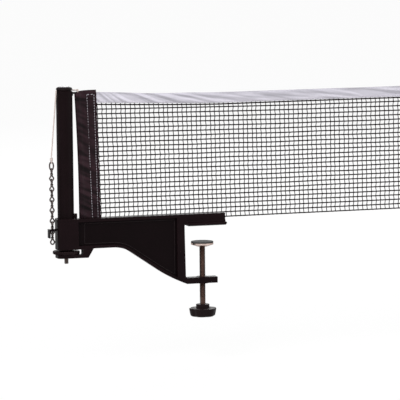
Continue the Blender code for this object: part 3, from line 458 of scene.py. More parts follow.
CHAIN_STEEL = Turned("bright_chain_steel", (0.12, 0.100, 0.096), 0.24, 1.0, stained=0.5,
                     stain=(0.032, 0.022, 0.020), lines=500.0, rim=(0.007, 0.003, 0.003))
WHITE_CORD = Yarn("white_braided_cord", (0.74, 0.64, 0.60), 0.75, specular=0.2)
BLACK_TWINE = Yarn("black_twine", (0.008, 0.005, 0.006), 0.7, specular=0.06)
NET_TWINE = Yarn("net_twine", (0.0105, 0.0052, 0.0062), 0.72, specular=0.05, ribs=900.0,
                 depth=0.06 * MM)
SEWING_THREAD = Yarn("pale_sewing_thread", (0.60, 0.57, 0.62), 0.7, specular=0.25,
                     ribs=1300.0, depth=0.04 * MM)
# fold_light and shade set the painted light and shade on the cloth's folds
SATIN = Woven("dark_satin_cloth", (0.0085, 0.0035, 0.0050), 0.40, specular=0.10,
              fold_light=3.4, shade=0.25, streak=(34.0, 34.0, 120.0))
COTTON = Woven("pale_cotton_tape", (0.60, 0.58, 0.645), 0.8, specular=0.15, sheen=0.05,
               fold_light=1.18, shade=0.50, streak=(26.0, 60.0, 240.0), slant=0.05,
               thread=520.0)
GLASS_ROD = Fibre("glass_fibre_rod", (0.66, 0.64, 0.50), 0.45)


# ---------------------------------------------------------------- mesh making
class Maker:
    """Turns points into mesh objects."""

    SHARP = math.radians(38)
    STITCH_MARKS = (0.0, 0.18, 0.5, 0.82, 1.0)
    STITCH_DIP = 1.6

    @classmethod
    def mesh(cls, name: str, points: Sequence[Sequence[float]], faces: Faces,
             finish: Finish) -> Thing:
        """Link a smooth-shaded mesh with one finish."""
        data = bpy.data.meshes.new(name)
        data.from_pydata([tuple(point) for point in points], [], faces)
        data.validate()
        data.shade_smooth()
        data.set_sharp_from_angle(angle=cls.SHARP)
        data.materials.append(finish.build())
        return link(name, data)

    @classmethod
    def cloth(cls, name: str, points: List[Point], bulges: List[float], count: int,
              finish: Finish, gain: float, step: int) -> Thing:
        """Cloth over a grid; it stores how far each point faces up, from 0 to 1, as a share for
        painted light on its folds.

        Args:
            name: the piece's name.
            points: the grid, in rows of count points.
            bulges: how far each point stands out of the cloth's middle.
            count: points in a row.
            finish: what it is made of.
            gain: how strongly a slope counts.
            step: index distance from a point to the one above it: count where rows are
                level, 1 where they climb the front and come down the back.
        Returns:
            The cloth, with its thickness.
        """
        level, total = step == count, len(points)
        faces = []
        for first in range(total - count):
            if (first + 1) % count:
                face = [first, first + 1, first + count + 1, first + count]
                faces.append(face if level else face[::-1])
        made = cls.mesh(name, points, faces, finish)
        lit_shares = []
        for index in range(total):
            turn = step if level or index % count < count // 2 else -step
            above, below = index + turn, index - turn
            if min(above, below) < 0 or max(above, below) >= total:
                lit_shares.append(0.5)
                continue
            rise = made.data.vertices[above].co.z - made.data.vertices[below].co.z
            slope = (bulges[below] - bulges[above]) / rise if abs(rise) > 0.05 * MM else 0.0
            lit_shares.append(clamp(0.5 + gain * slope))
        # this share lightens the cloth's colour where it faces up: painted light on the folds
        layer = made.data.attributes.new("lit_share", "FLOAT", "POINT")
        layer.data.foreach_set("value", lit_shares)
        solid = made.modifiers.new("cloth", "SOLIDIFY")
        solid.thickness = CLOTH_THICKNESS
        solid.offset = -1.0
        return made

    @staticmethod
    def skin(rings: Sequence[Sequence[Point]], closed: bool = False,
             first: int = 0) -> Tuple[List[Point], Faces]:
        """Points and faces of a skin over equal rings.

        Args:
            rings: the rings, in order.
            closed: whether the last ring joins the first; otherwise both ends are filled.
            first: index of the first point.
        Returns:
            The points and the faces.
        """
        count, total = len(rings[0]), len(rings)
        faces = []
        for row in range(total if closed else total - 1):
            here, there = first + row * count, first + (row + 1) % total * count
            for side in range(count):
                after = (side + 1) % count
                faces.append([here + side, here + after, there + after, there + side])
        if not closed:
            last = first + (total - 1) * count
            faces.append([first + side for side in reversed(range(count))])
            faces.append([last + side for side in range(count)])
        return [point for ring in rings for point in ring], faces

    @staticmethod
    def level_ring(centre: Point, radius: float, sides: int, pitch: float = 1.0,
                   depth: float = 0.0) -> List[Point]:
        """A level ring round a centre; a depth makes it one level of a screw thread."""
        ring = []
        for side in range(sides):
            angle = math.tau * side / sides
            turn = (centre[2] / pitch - side / sides) % 1.0
            reach = radius - depth * abs(2 * turn - 1.0)
            ring.append((centre[0] + reach * math.cos(angle),
                         centre[1] + reach * math.sin(angle), centre[2]))
        return ring

    @classmethod
    def tube_rings(cls, path: Sequence[Vector], radius: float, sides: int,
                   closed: bool) -> List[List[Point]]:
        """Rings round a path, turned as little as can be from one to the next."""
        count = len(path)
        rings: List[List[Point]] = []
        across = None
        for index, point in enumerate(path):
            if closed:
                along = path[(index + 1) % count] - path[index - 1]
            else:
                along = path[min(index + 1, count - 1)] - path[max(index - 1, 0)]
            along = along.normalized()
            if across is None:
                across = along.orthogonal().normalized()
            across = (across - along * across.dot(along)).normalized()
            other = along.cross(across)
            rings.append([tuple(point + radius * (math.cos(math.tau * s / sides) * across
                                                  + math.sin(math.tau * s / sides) * other))
                          for s in range(sides)])
        return cls._matched(rings) if closed else rings

    @staticmethod
    def _matched(rings: List[List[Point]]) -> List[List[Point]]:
        """Turn the last rings so that a closed tube's seam doesn't twist."""
        sides, total = len(rings[0]), len(rings)
        start, end = Vector(rings[0][0]), rings[-1]
        shift = min(range(sides), key=lambda s: (Vector(end[s]) - start).length)
        if shift > sides // 2:
            shift -= sides
        return [[ring[(s + round(shift * row / total)) % sides] for s in range(sides)]
                for row, ring in enumerate(rings)]

    @classmethod
    def tubes(cls, name: str, paths: Sequence[Sequence[Vector]], radius: float,
              finish: Finish, sides: int = 6, closed: bool = False) -> Thing:
        """Round tubes along paths, as one object."""
        points: List[Point] = []
        faces: Faces = []
        for path in paths:
            rings = cls.tube_rings(path, radius, sides, closed)
            more, extra = cls.skin(rings, closed, len(points))
            points += more
            faces += extra
        return cls.mesh(name, points, faces, finish)

    @classmethod
    def lathe(cls, name: str, profile: Pairs, centre: Tuple[float, float], finish: Finish,
              segments: int = 96, shape: Optional[Callable[[float, float], float]] = None
              ) -> Thing:
        """Spin a closed (radius, height) profile round a vertical axis.

        Args:
            name: the piece's name.
            profile: radius and height pairs; a radius of 0 closes on the axis.
            centre: X and Y of the axis.
            finish: what it is made of.
            segments: number of steps round the axis.
            shape: gives a factor for the radius from the angle and the height.
        Returns:
            The object.
        """
        points: List[Point] = []
        index: Faces = []
        for radius, height in profile:
            count = segments if radius > 0 else 1
            index.append(list(range(len(points), len(points) + count)))
            for step in range(count):
                angle = math.tau * step / segments
                reach = radius * (shape(angle, height) if shape else 1.0)
                points.append((centre[0] + reach * math.cos(angle),
                               centre[1] + reach * math.sin(angle), height))
        faces = []
        for low, high in zip(index, index[1:] + index[:1]):
            for step in range(segments):
                after = (step + 1) % segments
                loop = list(dict.fromkeys([low[step % len(low)], low[after % len(low)],
                                           high[after % len(high)], high[step % len(high)]]))
                if len(loop) > 2:
                    faces.append(loop)
        return cls.mesh(name, points, faces, finish)

    @staticmethod
    def smooth(points: Sequence[Vector], steps: int, closed: bool = False) -> Line:
        """A Catmull-Rom line through the points."""
        count = len(points)
        result = []
        for index in range(count if closed else count - 1):
            near = [points[(index + k) % count] if closed
                    else points[max(0, min(count - 1, index + k))] for k in (-1, 0, 1, 2)]
            for step in range(steps):
                t = step / steps
                result.append(0.5 * ((2 * near[1]) + (near[2] - near[0]) * t
                                     + (2 * near[0] - 5 * near[1] + 4 * near[2] - near[3]) * t ** 2
                                     + (3 * near[1] - near[0] - 3 * near[2] + near[3]) * t ** 3))
        if not closed:
            result.append(points[-1].copy())
        return result

    @staticmethod
    def along(line: Sequence[Vector], away: Sequence[float], mark: float) -> Vector:
        """The point of a line at a distance from its start; away has its points' distances."""
        index = next((k for k in range(1, len(line)) if mark <= away[k]), len(line) - 1)
        span = away[index] - away[index - 1]
        share = (mark - away[index - 1]) / span if span else 0.0
        return line[index - 1].lerp(line[index], min(1.0, share))

    @classmethod
    def stitches(cls, name: str, lines: Sequence[Sequence[Vector]], length: float, gap: float,
                 radius: float) -> Thing:
        """Rows of single stitches that dip into the cloth at both ends."""
        paths = []
        for line in lines:
            away = [0.0]
            for start, end in zip(line, line[1:]):
                away.append(away[-1] + (end - start).length)
            count = max(1, int(away[-1] / (length + gap)))
            pace = away[-1] / count
            for index in range(count):
                path = [cls.along(line, away, pace * (index + share * length / (length + gap)))
                        for share in cls.STITCH_MARKS]
                for end in (0, -1):
                    inward = 1.0 if path[end].y < NET_Y else -1.0
                    path[end] = path[end] + Vector((0, inward * radius * cls.STITCH_DIP, 0))
                paths.append(path)
        return cls.tubes(name, paths, radius, SEWING_THREAD)


@dataclass
class Assembly:
    """A group of pieces that are made together."""

    made: List[str] = field(default_factory=list, init=False)

    def put(self, piece: Thing, body: Body, slot: str, *nodes: str) -> Thing:
        """Let a piece ride on a body, and stand for CAD nodes.

        Args:
            piece: the finished object, in place.
            body: what it moves with.
            slot: the record's material slot; not used.
            nodes: CAD nodes that it stands for.
        Returns:
            The piece.
        """
        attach(piece, body.value)
        if nodes:
            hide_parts(*nodes)
        self.made.append(piece.name)
        return piece

    def dress(self, **finishes: Finish) -> None:
        """Give CAD nodes, named by the keywords, their finishes."""
        for node, finish in finishes.items():
            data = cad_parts[node].data
            data.materials.clear()
            data.materials.append(finish.build())
            self.made.append(node)


# ---------------------------------------------------------------- bracket
@dataclass
class Bracket(Assembly):
    """Casting, jaw pad, bushes and the bead along the recess."""

    web_front: float = -2.5 * MM
    arm_top: float = 13.3 * MM
    arm_bottom: float = -21.3 * MM
    jaw_bottom: float = -68.0 * MM
    start_x: float = -108.5 * MM
    slope: float = math.radians(34.3)
    end_slope: float = math.radians(21.0)
    upper_r: float = 37.5 * MM
    lower_r: float = 168.0 * MM
    recess_left: float = -150.5 * MM
    spine_x: float = -31.8 * MM
    rim: float = 3.5 * MM
    bead_r: float = 0.35 * MM
    bead_inset: float = 5.4 * MM
    rim_inset: float = 3.0 * MM
    left_room: float = 6.0 * MM
    bead_step: float = 4.0 * MM

    @staticmethod
    def arc(centre: Tuple[float, float], reach: float, start: float, end: float,
            steps: int = 14) -> Pairs:
        """X and Z round a centre, from angle to angle; a negative reach is the far side."""
        turns = [start + (end - start) * index / steps for index in range(steps + 1)]
        return [(centre[0] + reach * math.sin(turn), centre[1] + reach * math.cos(turn))
                for turn in turns]

    def underside(self, inset: float) -> Pairs:
        """The arm's curved underside moved inwards by inset, as X and Z."""
        upper = (self.start_x, self.arm_bottom - self.upper_r)
        points = self.arc(upper, self.upper_r + inset, 0.0, self.slope)
        x, z = self.arc(upper, self.upper_r, 0.0, self.slope)[-1]
        drop = self.lower_r * (math.cos(self.end_slope) - math.cos(self.slope))
        straight = z - self.jaw_bottom - drop
        lower = (x + straight / math.tan(self.slope) + self.lower_r * math.sin(self.slope),
                 z - straight + self.lower_r * math.cos(self.slope))
        return points + self.arc(lower, inset - self.lower_r, self.slope, self.end_slope)

    def bead_line(self, inset: float) -> Line:
        """Closed line that runs inside the recess at a distance from its rim."""
        extra = inset - self.rim_inset
        top = self.arm_top - self.rim - extra
        left, right = self.recess_left + extra + self.left_room, self.spine_x - extra
        curve = [point for point in self.underside(inset) if left < point[0] < right]
        low_left = (left, self.arm_bottom + inset)
        outline = [(left, top), low_left] + curve + [(right, curve[-1][1]), (right, top)]
        return [Vector((x, self.web_front, z)) for x, z in outline]

    def build(self) -> None:
        """Dress the CAD nodes and add the bead."""
        self.dress(bracket_casting=PAINT, jaw_pad=PAD_RUBBER, post_guide_bush=MOULDED,
                   stud_bush=BRASS)
        line = self.bead_line(self.bead_inset)
        fine: Line = []
        for start, end in zip(line, line[1:] + line[:1]):
            pieces = max(1, int((end - start).length / self.bead_step))
            fine += [start.lerp(end, k / pieces) for k in range(pieces)]
        # painted highlight: the bead's coat is lighter than the casting's
        bead = Maker.tubes("recess_bead", [fine], self.bead_r, BEAD_PAINT_HIGHLIGHT, 8, closed=True)
        self.put(bead, Body.BRACKET, "black_paint")


# ---------------------------------------------------------------- clamp
@dataclass
class ClampScrew(Assembly):
    """Threaded clamp screw, pad and knob."""

    radius: float = 3.5 * MM
    pitch: float = 1.0 * MM
    thread_depth: float = 0.42 * MM
    sides: int = 28
    pad_floor_z: float = -24.1 * MM
    shoulder_z: float = -25.8 * MM
    end_z: float = -102.8 * MM
    flats_top_z: float = -85.1 * MM
    flat_half: float = 2.8 * MM
    tip_r: float = 2.5 * MM
    tip_head_r: float = 3.4 * MM
    knob_top_z: float = -93.4 * MM
    knob_body_z: float = -97.7 * MM
    knob_bottom_z: float = -107.4 * MM
    knob_r: float = 15.9 * MM
    hub_r: float = 7.8 * MM
    socket_r: float = 5.75 * MM
    socket_floor: float = 2.4 * MM
    neck_r: float = 3.65 * MM
    lobes: int = 6

    def ring(self, radius: float, z: float, depth: float = 0.0) -> List[Point]:
        """One level ring of the screw; a depth gives it its thread."""
        return Maker.level_ring((0.0, 0.0, z), radius, self.sides, self.pitch, depth)

    def screw(self) -> Thing:
        """The screw from its riveted tip to its end in the knob, with two flats by the knob."""
        head, tip, floor = self.tip_head_r, self.tip_r, self.pad_floor_z
        rings = [self.ring(radius, z) for radius, z in (
            (head * 0.8, floor + 2.3 * MM), (head, floor + 1.9 * MM), (head, floor + 1.4 * MM),
            (tip, floor + 1.4 * MM), (tip, self.shoulder_z), (self.radius, self.shoulder_z))]
        z = self.shoulder_z - 0.2 * MM
        while z > self.flats_top_z:
            rings.append(self.ring(self.radius, z, self.thread_depth))
            z -= self.pitch / 6
        for z in (self.flats_top_z - 0.02 * MM, self.knob_top_z + 0.35 * MM):
            rings.append([(clamp(x, -self.flat_half, self.flat_half), y, z)
                          for x, y, _ in self.ring(self.radius, z)])
        for z in (self.knob_top_z + 0.25 * MM, self.end_z):
            rings.append(self.ring(self.radius, z))
        return Maker.mesh("clamp_screw_thread", *Maker.skin([ring[::-1] for ring in rings]),
                          SCREW_STEEL)

    def knob(self) -> Thing:
        """Hand knob with soft lobes, a rolled rim and a recessed ring under its hub."""
        top, low, hub = self.knob_body_z, self.knob_bottom_z, self.hub_r
        floor, lid = low + self.socket_floor, self.knob_top_z + 0.3 * MM
        ceiling = self.knob_top_z + 0.05 * MM

        def lobed(angle: float, z: float) -> float:
            """Dip between the lobes, except on the hub."""
            if z >= top - 0.0005 * MM:
                return 1.0
            return 1.0 - 0.085 * (0.5 - 0.5 * math.cos(self.lobes * angle)) ** 3

        profile = [(0.0, floor), (self.socket_r, floor), (self.socket_r, ceiling),
                   (self.neck_r, ceiling), (self.neck_r, lid), (hub - 0.5 * MM, lid),
                   (hub - 0.12 * MM, lid - 0.12 * MM), (hub, lid - 0.5 * MM),
                   (hub, top + 0.4 * MM), (hub + 0.4 * MM, top)]
        profile += [(self.knob_r * share, top - drop * MM) for share, drop in (
            (0.955, 0.001), (0.99, 0.2), (1.0, 0.6), (0.995, 1.4))]
        profile += [(self.knob_r * share, top - (top - low) * drop) for share, drop in (
            (0.975, 0.35), (0.95, 0.6), (0.925, 0.78), (0.89, 0.90), (0.83, 0.97), (0.74, 1.0))]
        return Maker.lathe("hand_knob", profile + [(0.0, low)], (0.0, 0.0), MOULDED,
                           shape=lobed)

    def build(self) -> None:
        """Make the screw and knob, and dress what the CAD gives."""
        self.put(self.screw(), Body.SCREW, "plated_steel", "clamp_screw")
        self.put(self.knob(), Body.SCREW, "black_plastic", "screw_knob")
        self.dress(knob_insert=BRASS, pressure_pad=PAD_STEEL, retaining_washer=SCREW_STEEL,
                   pad_facing=PAD_RUBBER)


# ---------------------------------------------------------------- post
@dataclass
class Post(Assembly):
    """Post tube, cap, adjusting stud and thumbwheel."""

    x: float = POST_X
    y: float = NET_Y
    radius: float = 9.5 * MM
    bore: float = 8.0 * MM
    ease: float = 0.3 * MM
    bottom_z: float = -13.0 * MM
    top_z: float = 159.9 * MM
    stud_r: float = 2.5 * MM
    stud_pitch: float = 0.8 * MM
    stud_depth: float = 0.32 * MM
    stud_chamfer: float = 0.5 * MM
    stud_tip_z: float = -39.3 * MM
    stud_top_z: float = -5.0 * MM
    wheel_z: float = -27.8 * MM
    wheel_height: float = 3.8 * MM
    notches: int = 36

    def turned(self, name: str, base: float, rows: Sequence[Tuple[float, float]], finish: Finish,
               segments: int = 96, shape: Optional[Callable[[float, float], float]] = None
               ) -> Thing:
        """Turn a piece on the post's axis.

        Args:
            name: the piece's name.
            base: height that the rows are measured from.
            rows: radius and height pairs, in millimetres.
            finish: what it is made of.
            segments: number of steps round the axis.
            shape: gives a factor for the radius from the angle and the height.
        Returns:
            The object.
        """
        profile = [(radius * MM, base + height * MM) for radius, height in rows]
        return Maker.lathe(name, profile, (self.x, self.y), finish, segments, shape)

    def tube(self) -> Thing:
        """The post's tube with eased ends."""
        low, high, ease = self.bottom_z, self.top_z, self.ease
        profile = [(self.bore, low), (self.radius - ease, low), (self.radius, low + ease),
                   (self.radius, high - ease), (self.radius - ease, high), (self.bore, high)]
        return Maker.lathe("post_bar", profile, (self.x, self.y), POST_PAINT)

    def cap(self) -> Thing:
        """Cap with its cord groove and rounded shoulder."""
        return self.turned("cap_shell", self.top_z, (
            (0.0, -9.0), (7.7, -9.0), (7.7, 0.1), (9.2, 0.1), (9.4, 0.3), (9.1, 0.5), (7.9, 0.6),
            (7.6, 0.8), (7.6, 1.7), (7.9, 1.9), (9.1, 2.0), (9.4, 2.3), (9.4, 2.9), (9.2, 3.7),
            (8.7, 4.3), (7.9, 4.8), (6.9, 5.1), (6.0, 5.2), (5.9, 5.1), (0.0, 5.1)), MOULDED)

    def cap_face(self) -> Thing:
        """A disc in the cap's black top, painted pale grey as the reflection on it."""
        return self.turned("cap_face", self.top_z, (
            (0.0, 5.0), (5.7, 5.0), (5.75, 5.45), (5.5, 5.75), (4.9, 5.9), (0.0, 6.0)),
            CAP_FACE_REFLECTION, 72)

    def stud(self) -> Thing:
        """The threaded adjusting stud with its chamfered tip."""
        rings = []
        z = self.stud_tip_z
        while z < self.stud_top_z:
            cut = max(0.0, self.stud_chamfer - (z - self.stud_tip_z))
            rings.append(Maker.level_ring((self.x, self.y, z), self.stud_r - cut, 24,
                                          self.stud_pitch, self.stud_depth))
            z += self.stud_pitch / 6
        return Maker.mesh("stud_thread", *Maker.skin(rings), STUD_STEEL)

    def wheel(self) -> Thing:
        """Thumbwheel with a notched rim, rounded corners and a hub."""
        low, high = self.wheel_z, self.wheel_z + self.wheel_height

        def notched(angle: float, z: float) -> float:
            """Cut shallow notches into the rim only."""
            if not low + 0.1 * MM < z < high - 0.1 * MM:
                return 1.0
            return 0.96 if (angle * self.notches / math.tau) % 1.0 > 0.52 else 1.0

        return self.turned("height_wheel", low, (
            (4.9, 0.0), (14.2, 0.0), (14.9, 0.05), (15.3, 0.4), (15.6, 0.7), (15.6, 3.1),
            (15.3, 3.4), (14.9, 3.75), (14.2, 3.8), (8.4, 3.8), (8.0, 4.1), (8.0, 5.6),
            (4.9, 5.6)), MOULDED, 360, notched)

    def build(self) -> None:
        """Make every turned piece of the post and its screw."""
        self.put(self.tube(), Body.POST, "black_paint", "post_tube")
        self.put(self.cap(), Body.POST, "black_plastic", "post_cap")
        self.put(self.cap_face(), Body.POST, "black_plastic")
        self.put(self.stud(), Body.POST, "plated_steel", "adjusting_stud")
        self.put(self.wheel(), Body.WHEEL, "black_plastic", "thumbwheel")
        self.dress(wheel_insert=BRASS, post_plug=MOULDED)


# ---------------------------------------------------------------- chain and cord
@dataclass
class ChainAndCord(Assembly):
    """Double-loop chain, its ring, and the cord that runs over the cap."""

    x: float = -179.0 * MM
    y: float = 3.0 * MM
    wire_r: float = 0.7 * MM
    seen_wire_r: float = 0.86 * MM
    pitch: float = 12.25 * MM
    half_width: float = 2.3 * MM
    end_height: float = 3.0 * MM
    waist_r: float = 0.92 * MM
    waist_half: float = 1.7 * MM
    twist: float = 270.0
    count: int = 7
    gap: float = GAP
    shelf_bottom_z: float = -0.6 * MM
    ring_half: float = 4.7 * MM
    knot_r: float = 1.08 * MM
    knot_height: float = 4.5 * MM
    loop_r: float = 1.5 * MM
    cord_r: float = 0.75 * MM
    wrap_r: float = 8.65 * MM
    bend_r: float = 3.0 * MM
    groove_z: float = 160.95 * MM
    blend_z: float = 156.0 * MM
    post_x: float = POST_X
    net_y: float = NET_Y
    sleeve_top_z: float = SLEEVE_TOP_Z
    corner_x: float = -149.4 * MM

    def __post_init__(self) -> None:
        """Work out the heights that follow from the shelf."""
        self.half_height = (self.pitch + 2 * self.wire_r + self.gap) / 2
        last = self.shelf_bottom_z - self.gap - self.wire_r - self.half_height
        self.first_z = last + (self.count - 1) * self.pitch
        self.ring_z = (self.first_z + self.half_height - 2 * self.wire_r - self.gap
                       + self.ring_half)
        self.knot_z = self.ring_z + self.ring_half + self.wire_r + self.gap

    def link_line(self) -> Line:
        """Closed centre line of a link: upper loop in YZ, lower loop in XZ."""
        straight = self.half_height - self.end_height
        strand = [(self.half_width * math.sin(angle), straight + self.end_height * math.cos(angle))
                  for angle in (0.0, math.pi / 6, math.pi / 3, math.pi / 2)]
        strand.append((0.5 * (self.half_width + self.waist_r), (straight + self.waist_half) / 2))
        strand += [(self.waist_r, self.waist_half * step / 3) for step in range(3, -4, -1)]
        strand += [(width, -height) for width, height in strand[4::-1]]
        points = []
        for side, half in ((1, strand), (-1, strand[-2:0:-1])):
            for width, height in half:
                share = clamp((self.waist_half - height) / (2 * self.waist_half))
                turn = math.radians(90 + self.twist * share)
                points.append(Vector((side * width * math.cos(turn),
                                      side * width * math.sin(turn), height)))
        return points

    def links(self) -> None:
        """The seven links and the connecting ring."""
        line = Maker.smooth(self.link_line(), 3, closed=True)
        paths = []
        for index in range(self.count):
            middle = Vector((self.x, self.y, self.first_z - index * self.pitch))
            paths.append((f"link_{index + 1}", f"chain_link_{index + 1}",
                          [middle + point for point in line]))
        oval = sweep(48, 0.0, math.tau, lambda cos, sin, _: (
            self.x + self.half_width * cos, self.y, self.ring_z + self.ring_half * sin))
        paths.append(("oval_ring", "connecting_ring", oval[:-1]))
        for name, node, path in paths:
            piece = Maker.tubes(name, [path], self.seen_wire_r, CHAIN_STEEL, 12, closed=True)
            self.put(piece, Body.BRACKET, "bright_steel", node)

    def knot(self) -> Thing:
        """Wound knot over the ring, with the loop that holds it."""
        low, high = self.knot_z + 0.85 * MM, self.knot_z + self.knot_height - 0.9 * MM
        wound = sweep(64, 0.0, math.tau * 3.2, lambda cos, sin, share: (
            self.x + self.knot_r * cos, self.y + self.knot_r * sin, low + (high - low) * share))
        wire = self.ring_z + self.ring_half
        loop = sweep(24, math.pi, math.tau, lambda cos, sin, _: (
            self.x, self.y + self.loop_r * cos, wire + self.loop_r * sin))
        up = Vector((0, 0, 1.6 * MM))
        loop = [loop[0] + up] + loop + [loop[-1] + up]
        core = [Vector((self.x, self.y, self.knot_z + 0.5 * MM + share * 3.6 * MM))
                for share in (0.0, 0.33, 0.66, 1.0)]
        return Maker.tubes("ring_knot", [wound, loop, core], self.cord_r * 0.98, WHITE_CORD, 10)

    def route(self) -> Line:
        """The cord's centre line, with the points of the part's source."""
        first = Vector((self.corner_x + 3.9 * MM, self.net_y,
                        self.sleeve_top_z + 1.0 * MM + self.cord_r + self.gap))
        touch = math.acos(self.wrap_r / (first.x - self.post_x))
        leave = math.radians(160.0)
        points = [first] + sweep(12, touch, leave, lambda cos, sin, _: (
            self.post_x + self.wrap_r * cos, self.net_y + self.wrap_r * sin, self.groove_z))
        heading = Vector((-math.sin(leave), math.cos(leave), 0))
        turn = points[-1] + heading * 2 * self.bend_r
        points.append(points[-1] + heading * self.bend_r)
        for degrees in (0, 22, 45, 68):
            angle = math.radians(degrees)
            points.append(turn + heading * self.bend_r * math.sin(angle)
                          - Vector((0, 0, self.bend_r * (1 - math.cos(angle)))))
        start = points[-1]
        end = Vector((self.x, self.y, self.knot_z + self.knot_height + self.gap))
        return points + [start.lerp(end, share) for share in (0.08, 0.2, 0.4, 0.6, 0.8, 1.0)]

    def cord(self, knot: Thing) -> None:
        """The taut cord, which bends between the post and the bracket."""
        path = Maker.smooth(self.route(), 4)
        cord = Maker.tubes("tension_line", [path], self.cord_r, WHITE_CORD, 12)
        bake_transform(cord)
        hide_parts("tension_cord")
        length_of(path)
        self.made.append(cord.name)

    def lashing(self) -> Thing:
        """Black twine knotted through the sleeve's corner, with a loose tail."""
        middle = self.sleeve_top_z - 1.2 * MM
        knot = sweep(96, 0.0, math.tau * 3.8, lambda cos, sin, share: (
            self.corner_x + (-2.2 + 4.0 * share) * MM, self.net_y + 0.95 * MM * cos,
            middle + 0.7 * MM * sin))
        tail = [knot[0] + Vector((x * MM, y * MM, z * MM)) for x, y, z in
                ((0, 0, 0), (-0.3, -0.5, -0.5), (-0.1, -0.9, -1.6), (0.4, -0.8, -2.8))]
        return Maker.tubes("corner_lashing", [knot, Maker.smooth(tail, 4)], 0.56 * MM,
                           BLACK_TWINE, 8)

    def whipping(self) -> Thing:
        """Pale thread that binds the cord's end to the sleeve."""
        middle, reach = self.sleeve_top_z + 1.05 * MM, 1.95 * MM
        bind = sweep(84, 0.0, math.tau * 3.5, lambda cos, sin, share: (
            self.corner_x + (2.9 + 1.7 * share) * MM, self.net_y + 1.2 * MM * cos,
            middle + reach * sin))
        return Maker.tubes("cord_whipping", [bind], 0.24 * MM, WHITE_CORD, 8)

    def build(self) -> None:
        """Make the chain, then the knot, the cord and its lashing."""
        self.links()
        self.cord(self.put(self.knot(), Body.BRACKET, "pale_cord", "cord_knot"))
        for piece in (self.lashing(), self.whipping()):
            self.put(piece, Body.POST, "pale_cord")


# ---------------------------------------------------------------- net
class SleeveSide(Enum):
    """Which end of the net a sleeve is on; its rod pocket is on its outer edge."""

    NEAR = -1
    FAR = 1


